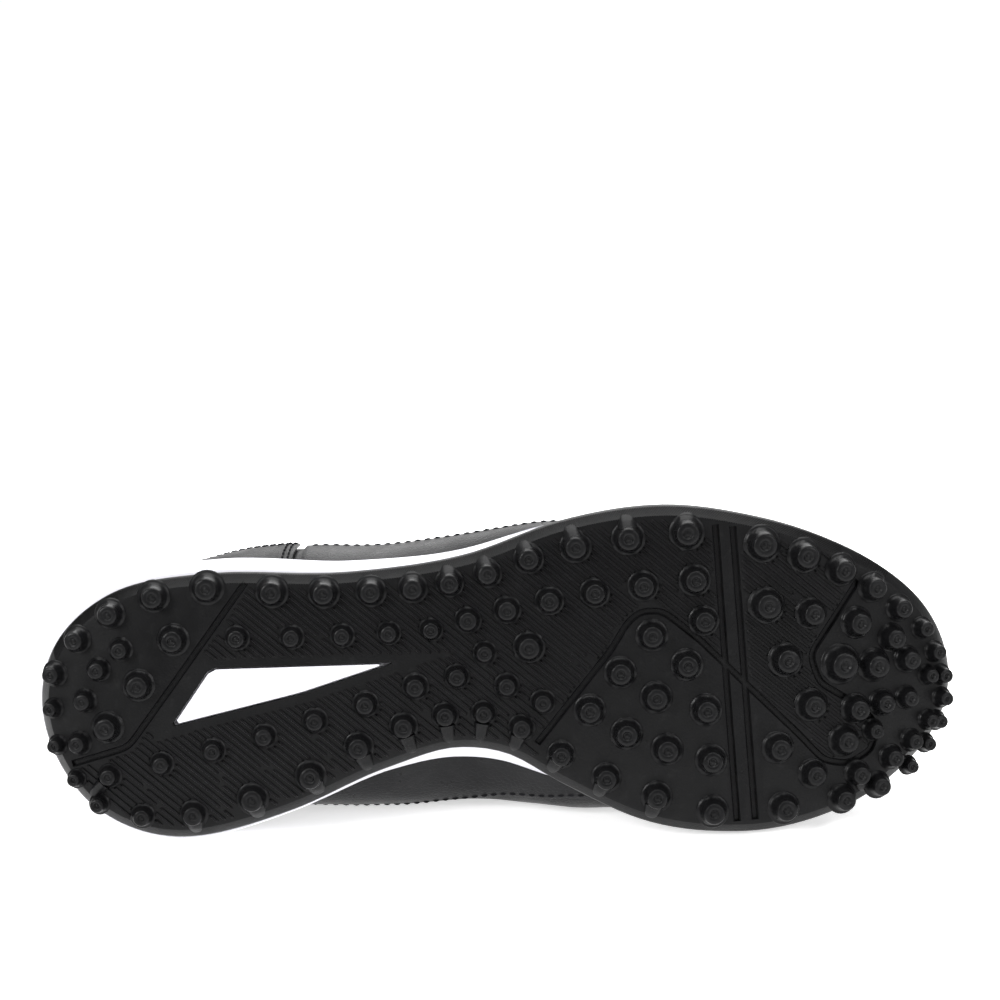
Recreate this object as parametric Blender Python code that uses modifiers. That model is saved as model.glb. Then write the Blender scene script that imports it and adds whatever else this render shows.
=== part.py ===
"""Turf shoe for the right foot, lying on its inner side.

It is modelled standing: heel at x = 0, toe towards +X, the inner side of the foot towards +Y and the
studs' tips at z = 0. All pieces hang on one empty, which is then turned and moved so that the shoe
lies on the face of its hull that carries its weight. All sizes are in metres.
"""

import bmesh
import bpy
import math
import numpy as np
from mathutils import Matrix, Vector

# Overall sizes
SHOE_LENGTH = 0.290
BALL_WIDTH = 0.104
COLLAR_HEIGHT = 0.097
TOE_SPRING = 0.016
TOE_SPRING_START = 0.200
HEEL_BEVEL = 0.004
HEEL_BEVEL_START = 0.030
FIT_GAP = 0.0003

# Outsole
STUD_HEIGHT = 0.0055
STUD_TIP_RADIUS = 0.0033
STUD_BASE_RADIUS = 0.0049
STUD_ROOT = 0.0020
STUD_LEAST_HEIGHT = 0.45
PLATE_THICKNESS = 0.003
EDGE_BEVEL_WIDTH = 0.0034
EDGE_BEVEL_RISE = 0.0032
RIM_HEIGHT = 0.012
RIM_WALL = 0.0022
GROOVE_WIDTH = 0.0016
GROOVE_DEPTH = 0.0011
WINDOW_CORNER = 0.0016
WINDOW_DEPTH = 0.024

# Midsole and insole
HEEL_STACK = 0.0155
LIP_HEIGHT = 0.017
LIP_WALL = 0.0016
FOAM_FLARE = 0.0049
INSOLE_THICKNESS = 0.0035
INSOLE_CLEARANCE = 0.0006

# Upper and what is sewn to it
WALL = 0.0018
COLLAR_PADDING = 0.0055
OVERLAY_THICKNESS = 0.0012
OVERLAY_GAP = 0.0005
EYESTAY_WIDTH = 0.019
EYESTAY_SETBACK = 0.0010
TONGUE_THICKNESS = 0.0045
TONGUE_REACH = 0.011
TONGUE_TOP_REACH = 0.001
TONGUE_FRONT = 0.010
TONGUE_RISE = 0.024
TONGUE_SET_BACK = 0.014
TONGUE_CLEARANCE = 0.0010
EYELET_RADIUS = 0.0021
EYELET_EDGE_DISTANCE = 0.0085
EYELET_PAIRS = 6
LACE_WIDTH = 0.0056
LACE_THICKNESS = 0.0016
LACE_CLEARANCE = 0.0010

# Where things lie on the upper, as shares: of the length for the throat, the collar's padding and
# the heel counter, of a profile from sole to edge for their heights, and of the throat for eyelets.
THROAT_TOP = 0.36
THROAT_FRONT = 0.80
EYELET_FIRST = 0.06
EYELET_LAST = 0.92
PADDING_END = 0.320
PADDING_FADE = 0.090
PADDING_LEVEL = 0.62
PADDING_FADE_LEVEL = 0.25
COUNTER_END = 0.27
COUNTER_FOOT = 0.09
COUNTER_TOP_BACK = 0.66
COUNTER_TOP_FRONT = 0.46
TONGUE_CROWN = 0.12
TONGUE_WAIST = 0.30

# Densities of the pieces, in kilograms a cubic metre
DENSITY = {
    "outsole": 1150, "midsole": 250, "insole": 200, "upper": 850, "heel_counter": 900,
    "eyestay": 900, "tongue": 350, "laces": 600,
}

# How a lace's middle tips towards the toe, and the side that a face of the hull must look to for
# the shoe to lie on it, as the share of its normal along +Y.
LACE_LEAN = 0.3
INNER_SIDE = 0.8

# Mesh density: points round the sole and rows up the upper, then stations and points of the rest
ROUND = 60
STUD_SIDES = 8
LEVELS = 9
COUNTER_ROWS = 6
EYESTAY_ROWS = 4
EYELET_SIDES = 6
TONGUE_STATIONS = 8
TONGUE_POINTS = 9
LACE_STEPS = 6
THROAT_STEPS = 40

# The sole's outline, outer side from heel to toe and then inner side back to the heel.
# along is a share of SHOE_LENGTH, across of BALL_WIDTH, and flare of FOAM_FLARE, by which the
# foam's band leans out over its height.
OUTLINE_COLUMNS = ("side", "along", "across", "flare")
OUTLINE = (
    ("heel", 0.000, 0.034, 0.34),
    ("outer", 0.028, -0.181, 0.34),
    ("outer", 0.091, -0.307, 0.34),
    ("outer", 0.190, -0.354, 0.36),
    ("outer", 0.345, -0.360, 0.38),
    ("outer", 0.466, -0.413, 0.22),
    ("outer", 0.569, -0.515, 0.20),
    ("outer", 0.674, -0.561, 0.00),
    ("outer", 0.783, -0.523, 0.00),
    ("outer", 0.880, -0.429, 0.00),
    ("outer", 0.955, -0.291, 0.00),
    ("toe", 1.000, -0.019, 0.00),
    ("inner", 0.955, 0.233, 0.00),
    ("inner", 0.883, 0.367, 0.00),
    ("inner", 0.759, 0.438, 0.00),
    ("inner", 0.655, 0.398, 0.00),
    ("inner", 0.569, 0.287, 0.38),
    ("inner", 0.507, 0.194, 0.92),
    ("inner", 0.459, 0.177, 1.00),
    ("inner", 0.379, 0.240, 0.50),
    ("inner", 0.276, 0.369, 0.30),
    ("inner", 0.155, 0.453, 0.25),
    ("inner", 0.059, 0.363, 0.30),
    ("inner", 0.014, 0.200, 0.34),
)

# The sole's side from heel to toe. rim is a share of RIM_HEIGHT, stack (foam under the foot) of
# HEEL_STACK, lip (foam above the rim) of LIP_HEIGHT, and ledge says how far the foam stands back
# from the edge, as a share of the rim's wall: below 0 it stands proud and at 1 it is inside the rim.
SIDE_COLUMNS = ("along", "rim", "stack", "lip", "ledge")
SIDE = (
    (0.000, 0.54, 1.00, 1.00, -0.5),
    (0.150, 0.50, 0.97, 0.90, -0.5),
    (0.270, 0.50, 0.88, 0.80, -0.4),
    (0.310, 0.51, 0.82, 0.65, -0.3),
    (0.430, 0.52, 0.67, 0.55, 0.0),
    (0.490, 0.56, 0.55, 0.44, 0.1),
    (0.540, 0.61, 0.43, 0.20, 0.4),
    (0.580, 0.66, 0.34, 0.06, 0.9),
    (0.620, 0.71, 0.31, 0.04, 1.0),
    (0.720, 0.75, 0.30, 0.04, 1.0),
    (0.850, 0.83, 0.29, 0.04, 1.0),
    (1.000, 1.00, 0.26, 0.04, 1.0),
)

# The upper's profiles. Each starts on the sole at along and ends on the edge of the opening at
# top_along, top_across and top_height. flare and rise place the curve's lower handle outwards and
# upwards from the sole, spread and drop its upper handle outwards and downwards from the edge.
# Lengths along are shares of SHOE_LENGTH, across, flare and spread of BALL_WIDTH, and heights of
# COLLAR_HEIGHT.
UPPER_COLUMNS = (
    "side", "along", "top_along", "top_across", "top_height", "flare", "rise", "spread", "drop",
)
UPPER = (
    ("heel", 0.00, 0.031, 0.043, 1.00, 0.050, 0.22, 0.030, 0.32),
    ("outer", 0.05, 0.059, -0.135, 0.98, 0.048, 0.22, 0.035, 0.30),
    ("outer", 0.15, 0.160, -0.245, 0.84, 0.045, 0.20, 0.080, 0.24),
    ("outer", 0.23, 0.240, -0.280, 0.76, 0.080, 0.19, 0.120, 0.20),
    ("outer", 0.30, 0.312, -0.262, 0.81, 0.105, 0.18, 0.165, 0.24),
    ("outer", 0.36, 0.362, -0.222, 0.92, 0.100, 0.17, 0.200, 0.31),
    ("outer", 0.47, 0.441, -0.190, 0.87, 0.110, 0.16, 0.240, 0.29),
    ("outer", 0.58, 0.524, -0.158, 0.79, 0.060, 0.18, 0.270, 0.21),
    ("outer", 0.70, 0.603, -0.128, 0.71, 0.040, 0.20, 0.270, 0.13),
    ("outer", 0.82, 0.655, -0.103, 0.665, 0.025, 0.21, 0.290, 0.07),
    ("outer", 0.93, 0.678, -0.078, 0.645, 0.020, 0.21, 0.390, 0.05),
    ("toe", 1.00, 0.685, -0.048, 0.640, 0.020, 0.21, 0.450, 0.05),
    ("inner", 0.93, 0.678, -0.018, 0.645, 0.020, 0.21, 0.390, 0.05),
    ("inner", 0.82, 0.655, 0.006, 0.665, 0.030, 0.21, 0.290, 0.07),
    ("inner", 0.70, 0.603, 0.032, 0.71, 0.050, 0.19, 0.280, 0.12),
    ("inner", 0.58, 0.524, 0.065, 0.80, 0.250, 0.12, 0.350, 0.19),
    ("inner", 0.47, 0.441, 0.100, 0.88, 0.380, 0.12, 0.335, 0.26),
    ("inner", 0.36, 0.362, 0.148, 0.93, 0.265, 0.14, 0.295, 0.29),
    ("inner", 0.30, 0.312, 0.262, 0.82, 0.130, 0.15, 0.170, 0.24),
    ("inner", 0.23, 0.240, 0.326, 0.78, 0.028, 0.17, 0.078, 0.20),
    ("inner", 0.15, 0.160, 0.318, 0.85, -0.010, 0.19, 0.073, 0.24),
    ("inner", 0.05, 0.059, 0.222, 0.98, 0.030, 0.22, 0.035, 0.30),
)

# The round ends of the last: inside them the upper swells straight sideways, past them radially.
HEEL_CENTRE = (0.145, 0.043)
TOE_CENTRE = (0.780, -0.048)

# The tongue above the throat: shares of its rise and of its width at the throat's top.
TONGUE_TIP_COLUMNS = ("rise", "width")
TONGUE_TIP = (
    (0.30, 0.74),
    (0.70, 0.86),
    (0.90, 0.80),
    (1.00, 0.62),
)

# Rows of studs. Each row is the smooth curve through its first, middle and last place, with count
# studs at equal steps of the curve. Tips are shares of STUD_TIP_RADIUS at the row's two ends.
STUD_COLUMNS = (
    "first_along", "first_across", "middle_along", "middle_across", "last_along", "last_across",
    "count", "first_tip", "last_tip",
)
STUD_ROWS = (
    (0.018, -0.050, 0.080, -0.235, 0.185, -0.314, 5, 0.80, 1.05),
    (0.255, -0.302, 0.362, -0.303, 0.447, -0.329, 5, 1.02, 0.90),
    (0.488, -0.358, 0.583, -0.438, 0.703, -0.481, 5, 0.90, 1.10),
    (0.785, -0.445, 0.872, -0.363, 0.938, -0.243, 5, 1.15, 0.85),
    (0.965, -0.178, 0.989, 0.040, 0.951, 0.245, 7, 0.70, 0.60),
    (0.916, 0.300, 0.876, 0.338, 0.811, 0.361, 3, 0.85, 1.00),
    (0.733, 0.367, 0.617, 0.263, 0.525, 0.110, 5, 1.00, 0.85),
    (0.484, 0.065, 0.397, 0.107, 0.296, 0.258, 5, 0.80, 1.00),
    (0.233, 0.327, 0.140, 0.383, 0.066, 0.345, 4, 1.00, 0.65),
    (0.041, 0.269, 0.020, 0.168, 0.016, 0.056, 3, 0.60, 0.65),
    (0.217, -0.163, 0.331, -0.170, 0.427, -0.188, 5, 0.80, 0.75),
    (0.467, -0.217, 0.579, -0.288, 0.712, -0.338, 6, 0.85, 1.00),
    (0.485, -0.118, 0.509, -0.126, 0.533, -0.135, 2, 0.75, 1.00),
    (0.455, -0.046, 0.509, -0.018, 0.548, 0.032, 3, 0.80, 0.80),
    (0.078, 0.258, 0.246, 0.136, 0.410, -0.015, 7, 0.75, 0.85),
    (0.666, -0.170, 0.632, -0.057, 0.599, 0.058, 3, 1.00, 1.00),
    (0.704, -0.081, 0.671, 0.018, 0.639, 0.129, 3, 1.00, 1.00),
    (0.725, 0.057, 0.704, 0.117, 0.683, 0.177, 2, 1.00, 1.00),
    (0.722, -0.215, 0.727, -0.003, 0.731, 0.210, 2, 0.95, 1.00),
    (0.790, -0.260, 0.825, -0.020, 0.877, 0.158, 4, 1.15, 1.00),
    (0.839, -0.234, 0.865, -0.218, 0.890, -0.202, 2, 1.00, 1.00),
    (0.890, 0.062, 0.920, 0.046, 0.948, 0.034, 3, 0.95, 0.75),
    (0.804, 0.175, 0.843, 0.258, 0.893, 0.263, 3, 1.00, 0.85),
    (0.931, 0.216, 0.954, 0.167, 0.973, 0.107, 3, 0.80, 0.65),
    (0.873, -0.076, 0.910, -0.070, 0.948, -0.084, 3, 1.25, 0.85),
    (0.930, -0.152, 0.952, -0.092, 0.972, -0.033, 2, 0.90, 0.65),
    (0.910, 0.130, 0.910, 0.130, 0.910, 0.130, 1, 0.70, 0.70),
    (0.148, -0.156, 0.110, -0.018, 0.076, 0.110, 3, 1.00, 1.00),
    (0.091, -0.127, 0.058, -0.022, 0.045, 0.160, 4, 0.75, 0.75),
)

# Grooves in the tread. Each is a chain of places, along as a share of SHOE_LENGTH and across of
# BALL_WIDTH.
GROOVES = {
    "heel_groove": ((0.226, -0.330), (0.142, 0.000), (0.098, 0.171), (0.036, 0.225)),
    "ball_groove": (
        (0.542, 0.160), (0.622, -0.125), (0.640, -0.211), (0.655, -0.244), (0.678, -0.243),
        (0.718, -0.156), (0.828, 0.138), (0.856, 0.220), (0.884, 0.232), (0.910, 0.190),
        (0.914, 0.110), (0.892, 0.050), (0.850, -0.020), (0.839, -0.106), (0.892, -0.330),
    ),
    "flex_groove_rear": ((0.734, -0.505), (0.749, 0.028), (0.760, 0.400)),
    "flex_groove_front": ((0.753, -0.500), (0.769, 0.028), (0.780, 0.395)),
}

# The corners of the long window in the tread, along and across in the same shares.
WINDOW = ((0.143, 0.112), (0.187, -0.070), (0.390, -0.088), (0.286, 0.010))


def column(table, columns, name):
    """One named column of a table, as a list."""
    place = columns.index(name)
    return [row[place] for row in table]


def smooth(keys, values, at):
    """Read a smooth curve through values at rising keys, at one key or at many."""
    keys = np.asarray(keys, float)
    values = np.asarray(values, float)
    slopes = np.gradient(values, keys)
    at = np.clip(at, keys[0], keys[-1])
    left = np.clip(np.searchsorted(keys, at, side="right") - 1, 0, len(keys) - 2)
    span = keys[left + 1] - keys[left]
    t = (at - keys[left]) / span
    start = (2 * t ** 3 - 3 * t ** 2 + 1) * values[left] + (t ** 3 - 2 * t ** 2 + t) * span * slopes[left]
    end = (3 * t ** 2 - 2 * t ** 3) * values[left + 1] + (t ** 3 - t ** 2) * span * slopes[left + 1]
    return start + end


def turn_of(side, along):
    """Angle round the sole: 0 at the heel, pi at the toe, the outer side between them."""
    half = math.acos(1 - 2 * along)
    return half if side in ("heel", "outer", "toe") else 2 * math.pi - half


def read_loop(table, columns, name, turn):
    """Read one column of a table that runs once round the shoe."""
    turns = [turn_of(row[0], row[1]) for row in table]
    values = column(table, columns, name)
    full = 2 * math.pi
    keys = [t - full for t in turns] + turns + [t + full for t in turns]
    return smooth(keys, values * 3, turn)


def read_side(name, along):
    """Read one column of the sole's side at a share of the length."""
    return smooth(column(SIDE, SIDE_COLUMNS, "along"), column(SIDE, SIDE_COLUMNS, name), along)


def outline(turn):
    """Point of the sole's outline, seen from above."""
    x = SHOE_LENGTH * (1 - np.cos(turn)) / 2
    y = BALL_WIDTH * read_loop(OUTLINE, OUTLINE_COLUMNS, "across", turn)
    return np.stack([x, y], axis=-1)


def outline_inset(turn, inset):
    """Point of the outline moved inwards."""
    step = 0.004
    run = outline(turn + step) - outline(turn - step)
    run /= np.linalg.norm(run, axis=-1, keepdims=True)
    inward = np.stack([-run[..., 1], run[..., 0]], axis=-1)
    return outline(turn) + inward * np.asarray(inset)[..., None]


def tread_height(x):
    """Height of the tread's ground plane: flat in the middle, with toe spring and bevelled heel."""
    toe = np.clip((x - TOE_SPRING_START) / (SHOE_LENGTH - TOE_SPRING_START), 0, None)
    heel = np.clip(1 - x / HEEL_BEVEL_START, 0, None)
    return STUD_HEIGHT + TOE_SPRING * toe ** 2 + HEEL_BEVEL * heel ** 2


def turns():
    """The angles of the stations round the sole."""
    return np.arange(ROUND) * 2 * math.pi / ROUND


def stations_between(start, end):
    """Two ends and the sole's own stations between them, so that sheets share the upper's facets."""
    step = 2 * math.pi / ROUND
    inner = np.arange(math.floor(start / step) + 1, math.ceil(end / step)) * step
    return np.concatenate([[start], inner, [end]])


def ring(inset, lift):
    """Ring round the sole at an inset from the outline and a lift above the tread."""
    flat = outline_inset(turns(), np.broadcast_to(inset, ROUND))
    height = tread_height(flat[:, 0]) + lift
    return np.column_stack([flat, height])


def rim_lift():
    """Lift of the outsole's rim above the tread, at each station."""
    return RIM_HEIGHT * read_side("rim", outline(turns())[:, 0] / SHOE_LENGTH)


def bed_lift():
    """Lift of the foot bed, the midsole's inner floor, above the tread."""
    stack = HEEL_STACK * read_side("stack", outline(turns())[:, 0] / SHOE_LENGTH)
    return PLATE_THICKNESS + FIT_GAP + stack


def lip_foot_inset():
    """Inset of the midsole's band where it stands on the rim."""
    return (RIM_WALL + FIT_GAP) * read_side("ledge", outline(turns())[:, 0] / SHOE_LENGTH)


def standing_back(along):
    """How far the foam's band stands back inside the rim, from 0 to 1."""
    return np.clip(read_side("ledge", along), 0, 1)


def lip_lift():
    """Lift of the top of the midsole's band above the tread."""
    band = LIP_HEIGHT * read_side("lip", outline(turns())[:, 0] / SHOE_LENGTH)
    return rim_lift() + 2 * FIT_GAP + band


def lip_inner_inset():
    """Inset of the inner face of the midsole's band, which holds the foot of the upper."""
    along = outline(turns())[:, 0] / SHOE_LENGTH
    return (RIM_WALL + FIT_GAP) * standing_back(along) + LIP_WALL


def new_object(name, mesh_or_bmesh, colour, roughness, collection):
    """Make an object of a mesh with its own plain material."""
    if isinstance(mesh_or_bmesh, bmesh.types.BMesh):
        mesh = bpy.data.meshes.new(name)
        mesh_or_bmesh.to_mesh(mesh)
        mesh_or_bmesh.free()
    else:
        mesh = mesh_or_bmesh
    obj = bpy.data.objects.new(name, mesh)
    collection.objects.link(obj)
    if colour is not None:
        material = bpy.data.materials.new(name)
        material.use_nodes = True
        shader = material.node_tree.nodes["Principled BSDF"]
        shader.inputs["Base Color"].default_value = (*colour, 1)
        shader.inputs["Roughness"].default_value = roughness
        mesh.materials.append(material)
        material.diffuse_color = (*colour, 1)
    return obj


def layered_solid(rings):
    """Closed solid of rings round the sole, floored and capped by strips from side to side."""
    bm = bmesh.new()
    rows = [[bm.verts.new(point) for point in points] for points in rings]
    for lower, upper in zip(rows, rows[1:]):
        for i in range(ROUND):
            j = (i + 1) % ROUND
            bm.faces.new((lower[i], lower[j], upper[j], upper[i]))
    for row in (rows[0], rows[-1]):
        for i in range(1, ROUND // 2 - 1):
            bm.faces.new((row[i], row[i + 1], row[-i - 1], row[-i]))
        bm.faces.new((row[0], row[1], row[-1]))
        middle = ROUND // 2
        bm.faces.new((row[middle - 1], row[middle], row[middle + 1]))
    bmesh.ops.recalc_face_normals(bm, faces=bm.faces)
    return bm


def prism(points, low, high):
    """Upright prism on a flat outline."""
    bm = bmesh.new()
    floor = [bm.verts.new((x, y, low)) for x, y in points]
    bm.faces.new(floor)
    lifted = bmesh.ops.extrude_face_region(bm, geom=bm.faces[:])
    raised = [item for item in lifted["geom"] if isinstance(item, bmesh.types.BMVert)]
    bmesh.ops.translate(bm, verts=raised, vec=(0, 0, high - low))
    bmesh.ops.recalc_face_normals(bm, faces=bm.faces)
    return bm


def cut_or_join(target, tool, operation):
    """Add a Boolean modifier that keeps its tool out of sight."""
    tool.hide_render = True
    tool.display_type = "WIRE"
    modifier = target.modifiers.new(tool.name, "BOOLEAN")
    modifier.operation = operation
    modifier.object = tool
    return modifier


def on_plan(place):
    """A place given in shares of the length and of the ball's width, in metres."""
    return np.array([place[0] * SHOE_LENGTH, place[1] * BALL_WIDTH])


def unit(vector):
    """The vector at a length of one."""
    return vector / np.linalg.norm(vector)


def window_outline(inset):
    """The window's outline with its corners cut off, moved inwards by inset."""
    corners = [on_plan(place) for place in WINDOW]
    centre = sum(corners) / len(corners)
    points = []
    for i, corner in enumerate(corners):
        before = unit(corners[i - 1] - corner)
        after = unit(corners[(i + 1) % len(corners)] - corner)
        mitre = unit(before + after)
        mitre *= np.sign(mitre @ (centre - corner))
        moved = corner + mitre * inset / math.sin(math.acos(abs(mitre @ before)))
        points += [moved + before * WINDOW_CORNER, moved + after * WINDOW_CORNER]
    return points


def groove_cutter(name, turning_points, collection):
    """Ribbon of square section along the tread's surface, deep enough to cut the groove."""
    path = [on_plan(place) for place in turning_points]
    left, right = [], []
    for i, point in enumerate(path):
        before = unit(point - path[i - 1]) if i else unit(path[1] - path[0])
        after = unit(path[i + 1] - point) if i < len(path) - 1 else before
        mean = unit(before + after)
        side = np.array([-mean[1], mean[0]]) * GROOVE_WIDTH / 2 / (mean @ before)
        left.append(point + side)
        right.append(point - side)
    bm = bmesh.new()
    rows = []
    for a, b in zip(left, right):
        row = []
        for corner, lift in ((a, -STUD_ROOT), (a, GROOVE_DEPTH), (b, GROOVE_DEPTH), (b, -STUD_ROOT)):
            height = float(tread_height(corner[0])) + lift
            row.append(bm.verts.new((corner[0], corner[1], height)))
        rows.append(row)
    for first, second in zip(rows, rows[1:]):
        for i in range(4):
            j = (i + 1) % 4
            bm.faces.new((first[i], first[j], second[j], second[i]))
    bm.faces.new(rows[0])
    bm.faces.new(rows[-1])
    bmesh.ops.recalc_face_normals(bm, faces=bm.faces)
    return new_object(name, bm, None, 0, collection)


def stud_places():
    """Place and tip share of every stud."""
    places = []
    for values in STUD_ROWS:
        row = dict(zip(STUD_COLUMNS, values))
        first, middle, last = (
            on_plan((row[place + "_along"], row[place + "_across"])) for place in ("first", "middle", "last")
        )
        for i in range(row["count"]):
            t = i / max(row["count"] - 1, 1)
            x, y = first * (1 - t) * (1 - 2 * t) + middle * 4 * t * (1 - t) + last * t * (2 * t - 1)
            places.append((x, y, row["first_tip"] + (row["last_tip"] - row["first_tip"]) * t))
    return places


def tread_slope(x):
    """Slope of the tread along the shoe."""
    step = SHOE_LENGTH / 300
    return float(tread_height(x + step) - tread_height(x - step)) / (2 * step)


def all_studs(collection):
    """All studs as cones that root in the plate, each square to the tread."""
    bm = bmesh.new()
    for x, y, tip in stud_places():
        height = STUD_HEIGHT * min(1, STUD_LEAST_HEIGHT + (1 - STUD_LEAST_HEIGHT) * tip)
        tilt = Matrix.Rotation(math.pi - math.atan(tread_slope(x)), 4, "Y")
        root = Matrix.Translation((x, y, float(tread_height(x))))
        middle = Matrix.Translation((0, 0, (height - STUD_ROOT) / 2))
        bmesh.ops.create_cone(
            bm, cap_ends=True, segments=STUD_SIDES, radius1=STUD_BASE_RADIUS * tip,
            radius2=STUD_TIP_RADIUS * tip, depth=height + STUD_ROOT, matrix=root @ tilt @ middle,
        )
    return new_object("studs", bm, None, 0, collection)


def make_outsole(parts, tools):
    """Rubber outsole: bevelled plate with a rim, window, grooves and studs."""
    rim = rim_lift()
    rings = [
        ring(EDGE_BEVEL_WIDTH, 0),
        ring(0, EDGE_BEVEL_RISE),
        ring(0, rim),
        ring(RIM_WALL, rim),
        ring(RIM_WALL, PLATE_THICKNESS),
    ]
    outsole = new_object("outsole", layered_solid(rings), (0.012, 0.012, 0.013), 0.45, parts)
    window = new_object("window", prism(window_outline(0), 0, WINDOW_DEPTH), None, 0, tools)
    cut_or_join(outsole, window, "DIFFERENCE")
    for name, turning_points in GROOVES.items():
        cut_or_join(outsole, groove_cutter(name, turning_points, tools), "DIFFERENCE")
    cut_or_join(outsole, all_studs(tools), "UNION").use_self = True
    return outsole


def make_midsole(parts, tools):
    """Foam midsole: inside the rim, then a band over it, with a pad that fills the window."""
    rim = rim_lift()
    foot = lip_foot_inset()
    top = lip_lift()
    inner = lip_inner_inset()
    bed = bed_lift()
    flare = FOAM_FLARE * np.clip(read_loop(OUTLINE, OUTLINE_COLUMNS, "flare", turns()), 0, None)
    rings = [
        ring(RIM_WALL + FIT_GAP, PLATE_THICKNESS + FIT_GAP),
        ring(RIM_WALL + FIT_GAP, rim + FIT_GAP),
        ring(foot, rim + 2 * FIT_GAP),
        ring(foot - flare, top),
        ring(inner, top),
        ring(inner + FIT_GAP, bed),
    ]
    midsole = new_object("midsole", layered_solid(rings), (0.86, 0.86, 0.89), 0.5, parts)
    low = STUD_HEIGHT + GROOVE_DEPTH
    pad = new_object("window_pad", prism(window_outline(2 * FIT_GAP), low, low + PLATE_THICKNESS), None, 0, tools)
    cut_or_join(midsole, pad, "UNION")
    return midsole


def make_insole(parts):
    """Thin insole on the foot bed, inside the foot of the upper."""
    inset = foot_inset(turns()) + WALL + INSOLE_CLEARANCE
    bed = bed_lift() + FIT_GAP
    rings = [ring(inset, bed), ring(inset, bed + INSOLE_THICKNESS)]
    return new_object("insole", layered_solid(rings), (0.05, 0.05, 0.055), 0.9, parts)


def outward(turn, foot):
    """Direction in which the upper swells at a station, seen from above."""
    heel = on_plan(HEEL_CENTRE)
    toe = on_plan(TOE_CENTRE)
    if foot[0] < heel[0]:
        away = foot - heel
    elif foot[0] > toe[0]:
        away = foot - toe
    else:
        away = np.array([0, -1.0 if turn % (2 * math.pi) < math.pi else 1.0])
    return unit(away)


def foot_inset(turn):
    """Inset of the upper's outer face where it stands inside the midsole's band."""
    along = outline(turn)[..., 0] / SHOE_LENGTH
    return (RIM_WALL + FIT_GAP) * standing_back(along) + LIP_WALL + 2 * FIT_GAP


def upper_handles(turn):
    """The profile of the upper at one station: its foot, and the four handles of the curve above."""
    along = float(outline(turn)[0]) / SHOE_LENGTH
    flat = outline_inset(turn, foot_inset(turn))
    ground = float(tread_height(flat[0]))
    bed = PLATE_THICKNESS + FIT_GAP + HEEL_STACK * read_side("stack", along)
    lip = RIM_HEIGHT * read_side("rim", along) + LIP_HEIGHT * read_side("lip", along) + 2 * FIT_GAP
    foot = np.array([*flat, ground + bed + FIT_GAP])
    knee = np.array([*flat, ground + lip + 2 * FIT_GAP])
    row = {name: float(read_loop(UPPER, UPPER_COLUMNS, name, turn)) for name in UPPER_COLUMNS[2:]}
    top = np.array([
        row["top_along"] * SHOE_LENGTH, row["top_across"] * BALL_WIDTH, row["top_height"] * COLLAR_HEIGHT,
    ])
    away = outward(turn, flat) * BALL_WIDTH
    low = knee + np.array([*(away * row["flare"]), row["rise"] * COLLAR_HEIGHT])
    high = top + np.array([*(away * row["spread"]), -row["drop"] * COLLAR_HEIGHT])
    return foot, knee, low, high, top


def on_profile(handles, t):
    """Point of a profile: 0 is the knee above the sole and 1 is the edge of the opening."""
    knee, low, high, top = handles[1:]
    return knee * (1 - t) ** 3 + low * 3 * t * (1 - t) ** 2 + high * 3 * t ** 2 * (1 - t) + top * t ** 3


def edge_share(handles, distance):
    """Place on a profile that lies at a distance below the edge of the opening."""
    return 1 - distance / (3 * np.linalg.norm(handles[4] - handles[3]))


def upper_grid():
    """Outer face of the upper: one profile a station, from the foot bed to the opening's edge."""
    lines = []
    for turn in turns():
        handles = upper_handles(turn)
        curve = [on_profile(handles, level / (LEVELS - 1)) for level in range(LEVELS)]
        lines.append([handles[0]] + curve)
    return np.array(lines)


def upper_normal(turn, t):
    """Outward direction of the upper at a place on its outer face."""
    step = 0.02
    around = on_profile(upper_handles(turn + step), t) - on_profile(upper_handles(turn - step), t)
    handles = upper_handles(turn)
    up = on_profile(handles, t + step) - on_profile(handles, t - step)
    return unit(np.cross(around, up))


def over_upper(turn, t, lift):
    """Point above the upper's outer face, or inside it where lift is negative."""
    return on_profile(upper_handles(turn), t) + upper_normal(turn, t) * lift


def shell_mesh(grid, closed):
    """Open sheet of a grid of points, closed round its first axis or not."""
    bm = bmesh.new()
    rows = [[bm.verts.new(point) for point in line] for line in grid]
    count = len(rows) if closed else len(rows) - 1
    for i in range(count):
        first, second = rows[i], rows[(i + 1) % len(rows)]
        for k in range(len(first) - 1):
            bm.faces.new((first[k], second[k], second[k + 1], first[k + 1]))
    return bm


def solidify(obj, thickness, offset):
    """Give a sheet its thickness, outwards for an offset of 1 and inwards for -1."""
    modifier = obj.modifiers.new("wall", "SOLIDIFY")
    modifier.thickness = thickness
    modifier.offset = offset
    return modifier


def padding_share(grid):
    """How thick the wall is at each point, as a share of the collar's padding."""
    plain = WALL / COLLAR_PADDING
    levels = np.linspace(0, 1, LEVELS + 1)
    behind = np.clip((PADDING_END - grid[:, -1, 0] / SHOE_LENGTH) / PADDING_FADE, 0, 1)
    rise = np.clip((levels - PADDING_LEVEL) / PADDING_FADE_LEVEL, 0, 1)
    behind = behind * behind * (3 - 2 * behind)
    rise = rise * rise * (3 - 2 * rise)
    return plain + (1 - plain) * behind[:, None] * rise[None, :]


def throat_turn(share):
    """Station on the outer side whose profile ends at a share of the throat: 0 top, 1 front."""
    angles = np.linspace(turn_of("outer", THROAT_TOP), turn_of("outer", THROAT_FRONT), THROAT_STEPS)
    ends = read_loop(UPPER, UPPER_COLUMNS, "top_along", angles)
    return float(np.interp(ends[0] + (ends[-1] - ends[0]) * share, ends, angles))


def eyelet_shares():
    """Place of each pair of eyelets along the throat, from the front one upwards."""
    step = (EYELET_LAST - EYELET_FIRST) / (EYELET_PAIRS - 1)
    return [EYELET_LAST - step * pair for pair in range(EYELET_PAIRS)]


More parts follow.
